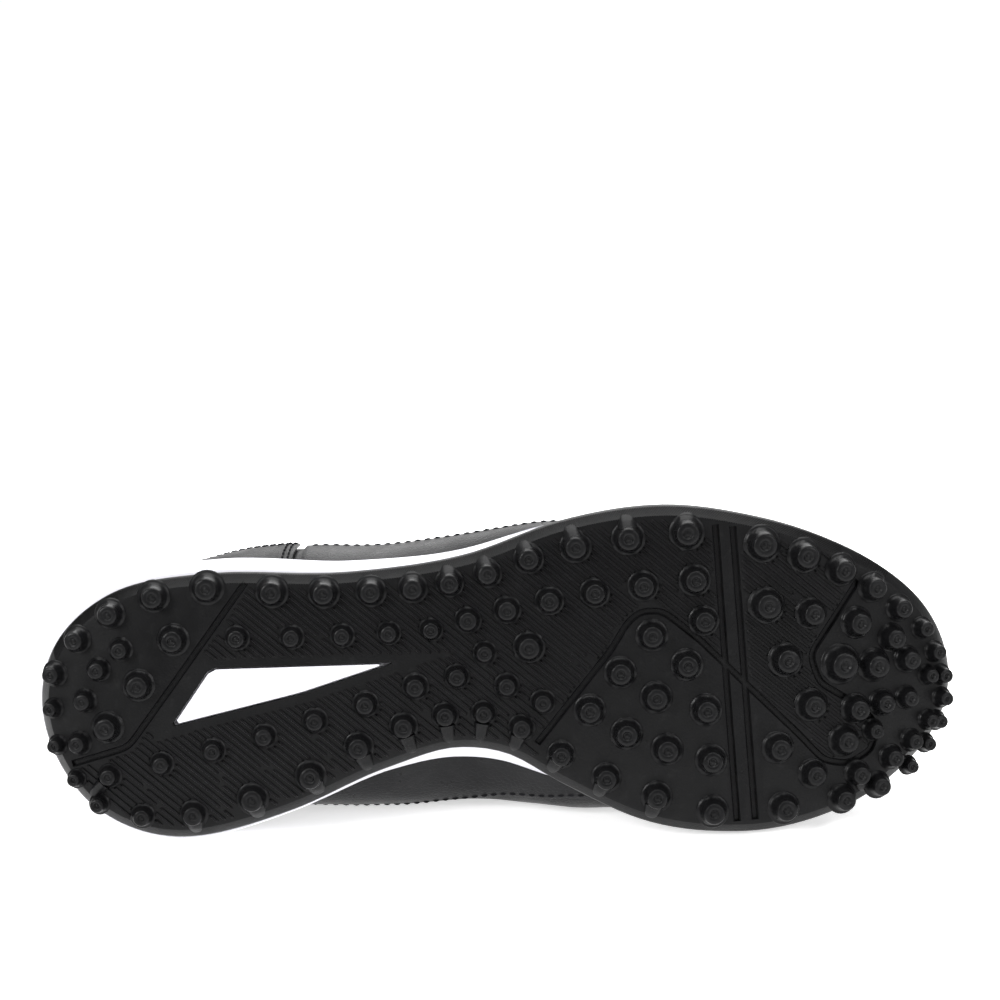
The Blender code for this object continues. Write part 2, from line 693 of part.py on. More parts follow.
def both_sides(turn):
    """The station and its partner on the inner side of the shoe."""
    return (turn, 2 * math.pi - turn)


def eyelet_cutter(collection):
    """Short rods through the wall at every eyelet."""
    bm = bmesh.new()
    for share in eyelet_shares():
        for turn in both_sides(throat_turn(share)):
            t = edge_share(upper_handles(turn), EYELET_EDGE_DISTANCE)
            axis = Vector(upper_normal(turn, t))
            place = Matrix.Translation(over_upper(turn, t, 0)) @ axis.to_track_quat("Z", "Y").to_matrix().to_4x4()
            bmesh.ops.create_cone(
                bm, cap_ends=True, segments=EYELET_SIDES, radius1=EYELET_RADIUS,
                radius2=EYELET_RADIUS, depth=4 * (WALL + OVERLAY_THICKNESS), matrix=place,
            )
    return new_object("eyelet_holes", bm, None, 0, collection)


def make_upper(parts, eyelets):
    """Hollow upper with a padded collar, punched with eyelets along the throat."""
    grid = upper_grid()
    upper = new_object("upper", shell_mesh(grid, True), (0.014, 0.014, 0.016), 0.42, parts)
    group = upper.vertex_groups.new(name="padding")
    for index, share in enumerate(padding_share(grid).ravel()):
        group.add([index], float(share), "REPLACE")
    solidify(upper, COLLAR_PADDING, -1).vertex_group = "padding"
    cut_or_join(upper, eyelets, "DIFFERENCE")
    return upper


def make_eyestay(parts, eyelets):
    """Leather facing round the throat, one step above the upper."""
    start = throat_turn(0)
    lines = []
    for turn in stations_between(start, 2 * math.pi - start):
        handles = upper_handles(turn)
        low = edge_share(handles, EYESTAY_WIDTH)
        high = edge_share(handles, EYESTAY_SETBACK)
        lines.append([over_upper(turn, t, OVERLAY_GAP) for t in np.linspace(low, high, EYESTAY_ROWS)])
    eyestay = new_object("eyestay", shell_mesh(lines, False), (0.016, 0.016, 0.018), 0.38, parts)
    solidify(eyestay, OVERLAY_THICKNESS, 1)
    cut_or_join(eyestay, eyelets, "DIFFERENCE")
    return eyestay


def make_heel_counter(parts):
    """Leather counter round the heel, one step above the upper."""
    end = turn_of("outer", COUNTER_END)
    lines = []
    for turn in stations_between(-end, end):
        high = COUNTER_TOP_BACK + (COUNTER_TOP_FRONT - COUNTER_TOP_BACK) * (turn / end) ** 2
        places = np.linspace(COUNTER_FOOT, high, COUNTER_ROWS)
        lines.append([over_upper(turn, t, OVERLAY_GAP) for t in places])
    counter = new_object("heel_counter", shell_mesh(lines, False), (0.018, 0.018, 0.02), 0.5, parts)
    solidify(counter, OVERLAY_THICKNESS, 1)
    return counter


def tongue_section(share):
    """Top face of the tongue across the throat, from the outer side to the inner side."""
    under = -(WALL + TONGUE_CLEARANCE)
    reach = np.interp(share, (0, TONGUE_WAIST), (TONGUE_TOP_REACH, TONGUE_REACH))
    sides = []
    for turn in both_sides(throat_turn(share)):
        handles = upper_handles(turn)
        places = [edge_share(handles, reach * part) for part in (1.0, 0.5, 0.0)]
        sides.append([over_upper(turn, t, under) for t in places])
    outer, inner = sides[0], sides[1][::-1]
    gap = np.linalg.norm(outer[-1] - inner[0])
    crown = (outer[-1] + inner[0]) / 2 + np.array([0, 0, TONGUE_CROWN * gap])
    keys = np.array(outer + [crown] + inner)
    run = np.concatenate([[0], np.cumsum(np.linalg.norm(np.diff(keys, axis=0), axis=1))])
    places = np.linspace(0, run[-1], TONGUE_POINTS)
    return np.column_stack([smooth(run, keys[:, axis], places) for axis in range(3)])


def make_tongue(parts):
    """Padded tongue: under the facings, on past the throat's front and up above its top."""
    lines = [tongue_section(share) for share in np.linspace(1, 0, TONGUE_STATIONS)]
    crown = lines[0][TONGUE_POINTS // 2]
    front = upper_handles(math.pi)
    for ahead in (0, TONGUE_FRONT):
        under_vamp = over_upper(math.pi, edge_share(front, ahead), -(WALL + 2 * TONGUE_CLEARANCE))
        lines.insert(0, lines[-TONGUE_STATIONS] + under_vamp - crown)
    top = lines[-1]
    middle = top.mean(axis=0)
    for values in TONGUE_TIP:
        rise, width = (values[TONGUE_TIP_COLUMNS.index(name)] for name in ("rise", "width"))
        shift = np.array([-TONGUE_SET_BACK * rise, 0, TONGUE_RISE * rise])
        lines.append(middle + (top - middle) * np.array([1, width, width]) + shift)
    tongue = new_object("tongue", shell_mesh(lines, False), (0.016, 0.016, 0.018), 0.6, parts)
    solidify(tongue, TONGUE_THICKNESS, 1)
    return tongue


def lace_strand(bm, first, second):
    """One flat strand from an eyelet over the tongue to the other side."""
    lift = 2 * FIT_GAP + OVERLAY_THICKNESS + LACE_THICKNESS
    side, last_side = first[1], second[1]
    shares = np.linspace(first[0], second[0], 5)
    keys = []
    ups = []
    for place, share in enumerate(shares):
        turn = throat_turn(share)
        if place == 2:
            section = tongue_section(share)
            keys.append(section[TONGUE_POINTS // 2] + np.array([0, 0, LACE_THICKNESS / 2 + LACE_CLEARANCE]))
            ups.append(np.array([LACE_LEAN, 0, 1]))
            continue
        turn = both_sides(turn)[side if place < 2 else last_side]
        t = edge_share(upper_handles(turn), EYELET_EDGE_DISTANCE if place in (0, 4) else 0)
        keys.append(over_upper(turn, t, lift))
        ups.append(upper_normal(turn, t))
    keys = np.array(keys)
    run = np.concatenate([[0], np.cumsum(np.linalg.norm(np.diff(keys, axis=0), axis=1))])
    places = np.linspace(0, run[-1], LACE_STEPS)
    path = np.column_stack([smooth(run, keys[:, axis], places) for axis in range(3)])
    up = np.column_stack([np.interp(places, run, np.array(ups)[:, axis]) for axis in range(3)])
    ahead = np.gradient(path, axis=0)
    wide = np.cross(up, ahead)
    wide *= LACE_WIDTH / 2 / np.linalg.norm(wide, axis=1, keepdims=True)
    thick = np.cross(ahead, wide)
    thick *= LACE_THICKNESS / 2 / np.linalg.norm(thick, axis=1, keepdims=True)
    rows = []
    for corner in ((-1, -1), (1, -1), (1, 1), (-1, 1)):
        rows.append([bm.verts.new(point) for point in path + corner[0] * wide + corner[1] * thick])
    for i in range(4):
        j = (i + 1) % 4
        for k in range(LACE_STEPS - 1):
            bm.faces.new((rows[i][k], rows[j][k], rows[j][k + 1], rows[i][k + 1]))
    bm.faces.new([row[0] for row in rows])
    bm.faces.new([row[-1] for row in rows])


def make_laces(parts, tools):
    """Flat lace: one bar at the front and crossings up to the top eyelets, joined into one solid."""
    shares = eyelet_shares()
    bar = bmesh.new()
    lace_strand(bar, (shares[0], 0), (shares[0], 1))
    crossings = bmesh.new()
    for low, high in zip(shares, shares[1:]):
        lace_strand(crossings, (low, 0), (high, 1))
        lace_strand(crossings, (low, 1), (high, 0))
    for bm in (bar, crossings):
        bmesh.ops.recalc_face_normals(bm, faces=bm.faces)
    laces = new_object("laces", bar, (0.02, 0.02, 0.022), 0.8, parts)
    crossed = new_object("lace_crossings", crossings, None, 0, tools)
    cut_or_join(laces, crossed, "UNION").use_self = True
    return laces


def weigh_and_wrap(collection):
    """Centre of mass of the standing shoe and the convex hull round it."""
    graph = bpy.context.evaluated_depsgraph_get()
    hull = bmesh.new()
    total = 0.0
    moment = Vector((0, 0, 0))
    for obj in collection.objects:
        if obj.type != "MESH":
            continue
        mesh = obj.evaluated_get(graph).data
        mesh.calc_loop_triangles()
        for triangle in mesh.loop_triangles:
            a, b, c = (mesh.vertices[i].co for i in triangle.vertices)
            weight = a.dot(b.cross(c)) / 6 * DENSITY[obj.name]
            total += weight
            moment += weight * (a + b + c) / 4
        for vertex in mesh.vertices:
            hull.verts.new(vertex.co)
    bmesh.ops.convex_hull(hull, input=hull.verts)
    return moment / total, hull


def resting_turn(centre, hull):
    """Rotation that lays the shoe on the inner side, on the flattest face of its hull under its weight."""
    best = Vector((0, 0, 0))
    for face in hull.faces:
        if face.normal.y < max(INNER_SIDE, best.y):
            continue
        corners = [vert.co for vert in face.verts]
        inside = all(
            (corners[(i + 1) % 3] - corners[i]).cross(centre - corners[i]).dot(face.normal) >= 0 for i in range(3)
        )
        if inside:
            best = face.normal.copy()
    along = (Vector((1, 0, 0)) - best * best.x).normalized()
    across = (-best).cross(along)
    return Matrix((along, across, -best)).to_4x4()


def lay_down(parts, tools):
    """Hang every piece on one empty and lay that on the floor, its box's floor centred on the origin."""
    bpy.context.view_layer.update()
    centre, hull = weigh_and_wrap(parts)
    rotation = resting_turn(centre, hull)
    points = np.array([rotation @ vert.co for vert in hull.verts])
    hull.free()
    low, high = points.min(axis=0), points.max(axis=0)
    shoe = bpy.data.objects.new("shoe", None)
    bpy.context.scene.collection.objects.link(shoe)
    shift = Matrix.Translation((-(low[0] + high[0]) / 2, -(low[1] + high[1]) / 2, -low[2]))
    shoe.matrix_world = shift @ rotation
    for obj in list(parts.objects) + list(tools.objects):
        obj.parent = shoe
    return shoe


def build():
    """Build the whole shoe."""
    for obj in list(bpy.data.objects):
        bpy.data.objects.remove(obj, do_unlink=True)
    parts = bpy.data.collections.new("turf_shoe")
    tools = bpy.data.collections.new("tools")
    bpy.context.scene.collection.children.link(parts)
    bpy.context.scene.collection.children.link(tools)
    eyelets = eyelet_cutter(tools)
    make_outsole(parts, tools)
    make_midsole(parts, tools)
    make_insole(parts)
    make_upper(parts, eyelets)
    make_heel_counter(parts)
    make_eyestay(parts, eyelets)
    make_tongue(parts)
    make_laces(parts, tools)
    lay_down(parts, tools)


build()
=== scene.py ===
"""Looks of the turf shoe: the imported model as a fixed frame, dressed at full detail.

Pieces are made standing, as the part is, with the same sizes, and laid down by TO_FLOOR.
"""

import math

import bmesh
import bpy
import numpy as np
from mathutils import Matrix, Vector


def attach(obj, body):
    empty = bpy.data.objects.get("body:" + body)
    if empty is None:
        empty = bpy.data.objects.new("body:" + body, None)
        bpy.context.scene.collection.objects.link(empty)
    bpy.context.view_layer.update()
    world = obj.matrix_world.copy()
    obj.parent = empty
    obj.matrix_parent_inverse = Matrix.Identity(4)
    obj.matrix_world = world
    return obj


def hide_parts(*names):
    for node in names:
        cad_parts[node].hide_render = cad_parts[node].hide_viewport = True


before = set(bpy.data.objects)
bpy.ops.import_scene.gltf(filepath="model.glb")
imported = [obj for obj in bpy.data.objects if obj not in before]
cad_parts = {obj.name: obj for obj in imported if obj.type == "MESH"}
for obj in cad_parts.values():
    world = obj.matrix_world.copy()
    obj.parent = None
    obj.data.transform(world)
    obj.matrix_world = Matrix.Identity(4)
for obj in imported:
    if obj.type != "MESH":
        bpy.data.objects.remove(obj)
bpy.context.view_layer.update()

# How the standing shoe is laid on the floor
TO_FLOOR = Matrix((
    (0.999365211, -0.034836918, -0.007441540, -0.143266559),
    (-0.000000000, -0.208897933, 0.977937341, -0.053096704),
    (-0.035622850, -0.977316737, -0.208765358, 0.055713098),
    (0.0, 0.0, 0.0, 1.0),
))

# Overall sizes
SHOE_LENGTH = 0.290
BALL_WIDTH = 0.104
COLLAR_HEIGHT = 0.097
TOE_SPRING = 0.016
TOE_SPRING_START = 0.200
HEEL_BEVEL = 0.004
HEEL_BEVEL_START = 0.030
FIT_GAP = 0.0003

# Outsole
STUD_HEIGHT = 0.0055
STUD_TIP_RADIUS = 0.0033
STUD_LEAST_HEIGHT = 0.45
PLATE_THICKNESS = 0.003
EDGE_BEVEL_WIDTH = 0.0034
EDGE_BEVEL_RISE = 0.0032
RIM_HEIGHT = 0.012
RIM_WALL = 0.0022
GROOVE_WIDTH = 0.0016
GROOVE_DEPTH = 0.0011
WINDOW_CORNER = 0.0016
WINDOW_DEPTH = 0.024

# Midsole and insole
HEEL_STACK = 0.0155
LIP_HEIGHT = 0.017
LIP_WALL = 0.0016
FOAM_FLARE = 0.0049
INSOLE_THICKNESS = 0.0035
INSOLE_CLEARANCE = 0.0006

# Upper and what is sewn to it
WALL = 0.0018
COLLAR_PADDING = 0.0055
OVERLAY_THICKNESS = 0.0012
OVERLAY_GAP = 0.0005
EYESTAY_WIDTH = 0.019
EYESTAY_SETBACK = 0.0010
TONGUE_THICKNESS = 0.0045
TONGUE_REACH = 0.011
TONGUE_TOP_REACH = 0.001
TONGUE_FRONT = 0.010
TONGUE_RISE = 0.024
TONGUE_SET_BACK = 0.014
TONGUE_CLEARANCE = 0.0010
EYELET_RADIUS = 0.0021
EYELET_EDGE_DISTANCE = 0.0085
EYELET_PAIRS = 6
LACE_WIDTH = 0.0056
LACE_THICKNESS = 0.0016
LACE_LEAN = 0.3
LACE_CLEARANCE = 0.0010

# Where things lie on the upper, as shares: of the length for the throat, the collar's padding and
# the heel counter, of a profile from sole to edge for their heights, and of the throat for eyelets.
THROAT_TOP = 0.36
THROAT_FRONT = 0.80
EYELET_FIRST = 0.06
EYELET_LAST = 0.92
PADDING_END = 0.320
PADDING_FADE = 0.090
PADDING_LEVEL = 0.62
PADDING_FADE_LEVEL = 0.25
COUNTER_END = 0.27
COUNTER_FOOT = 0.09
COUNTER_TOP_BACK = 0.66
COUNTER_TOP_FRONT = 0.46
TONGUE_CROWN = 0.12
TONGUE_WAIST = 0.30

# Mesh density here: stations round the shoe, rows up the upper, and the rest
ROUND = 240
LEVELS = 48
TONGUE_POINTS = 33
THROAT_STEPS = 60

# The sole's outline, outer side from heel to toe and then inner side back to the heel.
# along is a share of SHOE_LENGTH, across of BALL_WIDTH, and flare of FOAM_FLARE, by which the
# foam's band leans out over its height.
OUTLINE_COLUMNS = ("side", "along", "across", "flare")
OUTLINE = (
    ("heel", 0.000, 0.034, 0.34),
    ("outer", 0.028, -0.181, 0.34),
    ("outer", 0.091, -0.307, 0.34),
    ("outer", 0.190, -0.354, 0.36),
    ("outer", 0.345, -0.360, 0.38),
    ("outer", 0.466, -0.413, 0.22),
    ("outer", 0.569, -0.515, 0.20),
    ("outer", 0.674, -0.561, 0.00),
    ("outer", 0.783, -0.523, 0.00),
    ("outer", 0.880, -0.429, 0.00),
    ("outer", 0.955, -0.291, 0.00),
    ("toe", 1.000, -0.019, 0.00),
    ("inner", 0.955, 0.233, 0.00),
    ("inner", 0.883, 0.367, 0.00),
    ("inner", 0.759, 0.438, 0.00),
    ("inner", 0.655, 0.398, 0.00),
    ("inner", 0.569, 0.287, 0.38),
    ("inner", 0.507, 0.194, 0.92),
    ("inner", 0.459, 0.177, 1.00),
    ("inner", 0.379, 0.240, 0.50),
    ("inner", 0.276, 0.369, 0.30),
    ("inner", 0.155, 0.453, 0.25),
    ("inner", 0.059, 0.363, 0.30),
    ("inner", 0.014, 0.200, 0.34),
)

# The sole's side from heel to toe. rim is a share of RIM_HEIGHT, stack (foam under the foot) of
# HEEL_STACK, lip (foam above the rim) of LIP_HEIGHT, and ledge says how far the foam stands back
# from the edge, as a share of the rim's wall: below 0 it stands proud and at 1 it is inside the rim.
SIDE_COLUMNS = ("along", "rim", "stack", "lip", "ledge")
SIDE = (
    (0.000, 0.54, 1.00, 1.00, -0.5),
    (0.150, 0.50, 0.97, 0.90, -0.5),
    (0.270, 0.50, 0.88, 0.80, -0.4),
    (0.310, 0.51, 0.82, 0.65, -0.3),
    (0.430, 0.52, 0.67, 0.55, 0.0),
    (0.490, 0.56, 0.55, 0.44, 0.1),
    (0.540, 0.61, 0.43, 0.20, 0.4),
    (0.580, 0.66, 0.34, 0.06, 0.9),
    (0.620, 0.71, 0.31, 0.04, 1.0),
    (0.720, 0.75, 0.30, 0.04, 1.0),
    (0.850, 0.83, 0.29, 0.04, 1.0),
    (1.000, 1.00, 0.26, 0.04, 1.0),
)

# The upper's profiles. Each starts on the sole at along and ends on the edge of the opening at
# top_along, top_across and top_height. flare and rise place the curve's lower handle outwards and
# upwards from the sole, spread and drop its upper handle outwards and downwards from the edge.
# Lengths along are shares of SHOE_LENGTH, across, flare and spread of BALL_WIDTH, and heights of
# COLLAR_HEIGHT.
UPPER_COLUMNS = (
    "side", "along", "top_along", "top_across", "top_height", "flare", "rise", "spread", "drop",
)
UPPER = (
    ("heel", 0.00, 0.031, 0.043, 1.00, 0.050, 0.22, 0.030, 0.32),
    ("outer", 0.05, 0.059, -0.135, 0.98, 0.048, 0.22, 0.035, 0.30),
    ("outer", 0.15, 0.160, -0.245, 0.84, 0.045, 0.20, 0.080, 0.24),
    ("outer", 0.23, 0.240, -0.280, 0.76, 0.080, 0.19, 0.120, 0.20),
    ("outer", 0.30, 0.312, -0.262, 0.81, 0.105, 0.18, 0.165, 0.24),
    ("outer", 0.36, 0.362, -0.222, 0.92, 0.100, 0.17, 0.200, 0.31),
    ("outer", 0.47, 0.441, -0.190, 0.87, 0.110, 0.16, 0.240, 0.29),
    ("outer", 0.58, 0.524, -0.158, 0.79, 0.060, 0.18, 0.270, 0.21),
    ("outer", 0.70, 0.603, -0.128, 0.71, 0.040, 0.20, 0.270, 0.13),
    ("outer", 0.82, 0.655, -0.103, 0.665, 0.025, 0.21, 0.290, 0.07),
    ("outer", 0.93, 0.678, -0.078, 0.645, 0.020, 0.21, 0.390, 0.05),
    ("toe", 1.00, 0.685, -0.048, 0.640, 0.020, 0.21, 0.450, 0.05),
    ("inner", 0.93, 0.678, -0.018, 0.645, 0.020, 0.21, 0.390, 0.05),
    ("inner", 0.82, 0.655, 0.006, 0.665, 0.030, 0.21, 0.290, 0.07),
    ("inner", 0.70, 0.603, 0.032, 0.71, 0.050, 0.19, 0.280, 0.12),
    ("inner", 0.58, 0.524, 0.065, 0.80, 0.250, 0.12, 0.350, 0.19),
    ("inner", 0.47, 0.441, 0.100, 0.88, 0.380, 0.12, 0.335, 0.26),
    ("inner", 0.36, 0.362, 0.148, 0.93, 0.265, 0.14, 0.295, 0.29),
    ("inner", 0.30, 0.312, 0.262, 0.82, 0.130, 0.15, 0.170, 0.24),
    ("inner", 0.23, 0.240, 0.326, 0.78, 0.028, 0.17, 0.078, 0.20),
    ("inner", 0.15, 0.160, 0.318, 0.85, -0.010, 0.19, 0.073, 0.24),
    ("inner", 0.05, 0.059, 0.222, 0.98, 0.030, 0.22, 0.035, 0.30),
)

# The round ends of the last: inside them the upper swells straight sideways, past them radially.
HEEL_CENTRE = (0.145, 0.043)
TOE_CENTRE = (0.780, -0.048)

# The tongue above the throat: shares of its rise and of its width at the throat's top.
TONGUE_TIP = (
    (0.30, 0.74),
    (0.70, 0.86),
    (0.90, 0.80),
    (1.00, 0.62),
)

# Rows of studs. Each row is the smooth curve through its first, middle and last place, with count
# studs at equal steps of the curve. Tips are shares of STUD_TIP_RADIUS at the row's two ends.
STUD_COLUMNS = (
    "first_along", "first_across", "middle_along", "middle_across", "last_along", "last_across",
    "count", "first_tip", "last_tip",
)
STUD_ROWS = (
    (0.018, -0.050, 0.080, -0.235, 0.185, -0.314, 5, 0.80, 1.05),
    (0.255, -0.302, 0.362, -0.303, 0.447, -0.329, 5, 1.02, 0.90),
    (0.488, -0.358, 0.583, -0.438, 0.703, -0.481, 5, 0.90, 1.10),
    (0.785, -0.445, 0.872, -0.363, 0.938, -0.243, 5, 1.15, 0.85),
    (0.965, -0.178, 0.989, 0.040, 0.951, 0.245, 7, 0.70, 0.60),
    (0.916, 0.300, 0.876, 0.338, 0.811, 0.361, 3, 0.85, 1.00),
    (0.733, 0.367, 0.617, 0.263, 0.525, 0.110, 5, 1.00, 0.85),
    (0.484, 0.065, 0.397, 0.107, 0.296, 0.258, 5, 0.80, 1.00),
    (0.233, 0.327, 0.140, 0.383, 0.066, 0.345, 4, 1.00, 0.65),
    (0.041, 0.269, 0.020, 0.168, 0.016, 0.056, 3, 0.60, 0.65),
    (0.217, -0.163, 0.331, -0.170, 0.427, -0.188, 5, 0.80, 0.75),
    (0.467, -0.217, 0.579, -0.288, 0.712, -0.338, 6, 0.85, 1.00),
    (0.485, -0.118, 0.509, -0.126, 0.533, -0.135, 2, 0.75, 1.00),
    (0.455, -0.046, 0.509, -0.018, 0.548, 0.032, 3, 0.80, 0.80),
    (0.078, 0.258, 0.246, 0.136, 0.410, -0.015, 7, 0.75, 0.85),
    (0.666, -0.170, 0.632, -0.057, 0.599, 0.058, 3, 1.00, 1.00),
    (0.704, -0.081, 0.671, 0.018, 0.639, 0.129, 3, 1.00, 1.00),
    (0.725, 0.057, 0.704, 0.117, 0.683, 0.177, 2, 1.00, 1.00),
    (0.722, -0.215, 0.727, -0.003, 0.731, 0.210, 2, 0.95, 1.00),
    (0.790, -0.260, 0.825, -0.020, 0.877, 0.158, 4, 1.15, 1.00),
    (0.839, -0.234, 0.865, -0.218, 0.890, -0.202, 2, 1.00, 1.00),
    (0.890, 0.062, 0.920, 0.046, 0.948, 0.034, 3, 0.95, 0.75),
    (0.804, 0.175, 0.843, 0.258, 0.893, 0.263, 3, 1.00, 0.85),
    (0.931, 0.216, 0.954, 0.167, 0.973, 0.107, 3, 0.80, 0.65),
    (0.873, -0.076, 0.910, -0.070, 0.948, -0.084, 3, 1.25, 0.85),
    (0.930, -0.152, 0.952, -0.092, 0.972, -0.033, 2, 0.90, 0.65),
    (0.910, 0.130, 0.910, 0.130, 0.910, 0.130, 1, 0.70, 0.70),
    (0.148, -0.156, 0.110, -0.018, 0.076, 0.110, 3, 1.00, 1.00),
    (0.091, -0.127, 0.058, -0.022, 0.045, 0.160, 4, 0.75, 0.75),
)

# Grooves in the tread. Each is a chain of places, along as a share of SHOE_LENGTH and across of
# BALL_WIDTH.
GROOVES = {
    "heel_groove": ((0.226, -0.330), (0.142, 0.000), (0.098, 0.171), (0.036, 0.225)),
    "ball_groove": (
        (0.542, 0.160), (0.622, -0.125), (0.640, -0.211), (0.655, -0.244), (0.678, -0.243),
        (0.718, -0.156), (0.828, 0.138), (0.856, 0.220), (0.884, 0.232), (0.910, 0.190),
        (0.914, 0.110), (0.892, 0.050), (0.850, -0.020), (0.839, -0.106), (0.892, -0.330),
    ),
    "flex_groove_rear": ((0.734, -0.505), (0.749, 0.028), (0.760, 0.400)),
    "flex_groove_front": ((0.753, -0.500), (0.769, 0.028), (0.780, 0.395)),
}

# The corners of the long window in the tread, along and across in the same shares.
WINDOW = ((0.143, 0.112), (0.187, -0.070), (0.390, -0.088), (0.286, 0.010))


def column(table, columns, name):
    """One named column of a table, as a list."""
    place = columns.index(name)
    return [row[place] for row in table]


def smooth(keys, values, at):
    """Read a smooth curve through values at rising keys, at one key or at many."""
    keys = np.asarray(keys, float)
    values = np.asarray(values, float)
    slopes = np.gradient(values, keys)
    at = np.clip(at, keys[0], keys[-1])
    left = np.clip(np.searchsorted(keys, at, side="right") - 1, 0, len(keys) - 2)
    span = keys[left + 1] - keys[left]
    t = (at - keys[left]) / span
    start = (2 * t ** 3 - 3 * t ** 2 + 1) * values[left] + (t ** 3 - 2 * t ** 2 + t) * span * slopes[left]
    end = (3 * t ** 2 - 2 * t ** 3) * values[left + 1] + (t ** 3 - t ** 2) * span * slopes[left + 1]
    return start + end


def turn_of(side, along):
    """Angle round the sole: 0 at the heel, pi at the toe, the outer side between them."""
    half = math.acos(1 - 2 * along)
    return half if side in ("heel", "outer", "toe") else 2 * math.pi - half


def read_loop(table, columns, name, turn):
    """Read one column of a table that runs once round the shoe."""
    turns = [turn_of(row[0], row[1]) for row in table]
    values = column(table, columns, name)
    full = 2 * math.pi
    keys = [t - full for t in turns] + turns + [t + full for t in turns]
    return smooth(keys, values * 3, turn)


def read_side(name, along):
    """Read one column of the sole's side at a share of the length."""
    return smooth(column(SIDE, SIDE_COLUMNS, "along"), column(SIDE, SIDE_COLUMNS, name), along)


def outline(turn):
    """Point of the sole's outline, seen from above."""
    x = SHOE_LENGTH * (1 - np.cos(turn)) / 2
    y = BALL_WIDTH * read_loop(OUTLINE, OUTLINE_COLUMNS, "across", turn)
    return np.stack([x, y], axis=-1)


def outline_inset(turn, inset):
    """Point of the outline moved inwards."""
    step = 0.004
    run = outline(turn + step) - outline(turn - step)
    run /= np.linalg.norm(run, axis=-1, keepdims=True)
    inward = np.stack([-run[..., 1], run[..., 0]], axis=-1)
    return outline(turn) + inward * np.asarray(inset)[..., None]


def tread_height(x):
    """Height of the tread's ground plane: flat in the middle, with toe spring and bevelled heel."""
    toe = np.clip((x - TOE_SPRING_START) / (SHOE_LENGTH - TOE_SPRING_START), 0, None)
    heel = np.clip(1 - x / HEEL_BEVEL_START, 0, None)
    return STUD_HEIGHT + TOE_SPRING * toe ** 2 + HEEL_BEVEL * heel ** 2


def turns():
    """The angles of the stations round the sole."""
    return np.arange(ROUND) * 2 * math.pi / ROUND


def stations_between(start, end):
    """Two ends and the sole's own stations between them, so that sheets share the upper's facets."""
    step = 2 * math.pi / ROUND
    inner = np.arange(math.floor(start / step) + 1, math.ceil(end / step)) * step
    return np.concatenate([[start], inner, [end]])


def ring(inset, lift):
    """Ring round the sole at an inset from the outline and a lift above the tread."""
    flat = outline_inset(turns(), np.broadcast_to(inset, ROUND))
    height = tread_height(flat[:, 0]) + lift
    return np.column_stack([flat, height])


def rim_lift():
    """Lift of the outsole's rim above the tread, at each station."""
    return RIM_HEIGHT * read_side("rim", outline(turns())[:, 0] / SHOE_LENGTH)


def bed_lift():
    """Lift of the foot bed, the midsole's inner floor, above the tread."""
    stack = HEEL_STACK * read_side("stack", outline(turns())[:, 0] / SHOE_LENGTH)
    return PLATE_THICKNESS + FIT_GAP + stack


def lip_foot_inset():
    """Inset of the midsole's band where it stands on the rim."""
    return (RIM_WALL + FIT_GAP) * read_side("ledge", outline(turns())[:, 0] / SHOE_LENGTH)


def standing_back(along):
    """How far the foam's band stands back inside the rim, from 0 to 1."""
    return np.clip(read_side("ledge", along), 0, 1)


def lip_lift():
    """Lift of the top of the midsole's band above the tread."""
    band = LIP_HEIGHT * read_side("lip", outline(turns())[:, 0] / SHOE_LENGTH)
    return rim_lift() + 2 * FIT_GAP + band


def lip_inner_inset():
    """Inset of the inner face of the midsole's band, which holds the foot of the upper."""
    along = outline(turns())[:, 0] / SHOE_LENGTH
    return (RIM_WALL + FIT_GAP) * standing_back(along) + LIP_WALL


def layered_solid(rings):
    """Closed solid of rings round the sole, floored and capped by strips from side to side."""
    bm = bmesh.new()
    rows = [[bm.verts.new(point) for point in points] for points in rings]
    for lower, upper in zip(rows, rows[1:]):
        for i in range(ROUND):
            j = (i + 1) % ROUND
            bm.faces.new((lower[i], lower[j], upper[j], upper[i]))
    for row in (rows[0], rows[-1]):
        for i in range(1, ROUND // 2 - 1):
            bm.faces.new((row[i], row[i + 1], row[-i - 1], row[-i]))
        bm.faces.new((row[0], row[1], row[-1]))
        middle = ROUND // 2
        bm.faces.new((row[middle - 1], row[middle], row[middle + 1]))
    bmesh.ops.recalc_face_normals(bm, faces=bm.faces)
    return bm


def prism(points, low, high):
    """Upright prism on a flat outline."""
    bm = bmesh.new()
    floor = [bm.verts.new((x, y, low)) for x, y in points]
    bm.faces.new(floor)
    lifted = bmesh.ops.extrude_face_region(bm, geom=bm.faces[:])
    raised = [item for item in lifted["geom"] if isinstance(item, bmesh.types.BMVert)]
    bmesh.ops.translate(bm, verts=raised, vec=(0, 0, high - low))
    bmesh.ops.recalc_face_normals(bm, faces=bm.faces)
    return bm


def on_plan(place):
    """A place given in shares of the length and of the ball's width, in metres."""
    return np.array([place[0] * SHOE_LENGTH, place[1] * BALL_WIDTH])


def unit(vector):
    """The vector at a length of one."""
    return vector / np.linalg.norm(vector)


def window_outline(inset):
    """The window's outline with its corners cut off, moved inwards by inset."""
    corners = [on_plan(place) for place in WINDOW]
    centre = sum(corners) / len(corners)
    points = []
    for i, corner in enumerate(corners):
        before = unit(corners[i - 1] - corner)
        after = unit(corners[(i + 1) % len(corners)] - corner)
        mitre = unit(before + after)
        mitre *= np.sign(mitre @ (centre - corner))
        moved = corner + mitre * inset / math.sin(math.acos(abs(mitre @ before)))
        points += [moved + before * WINDOW_CORNER, moved + after * WINDOW_CORNER]
    return points


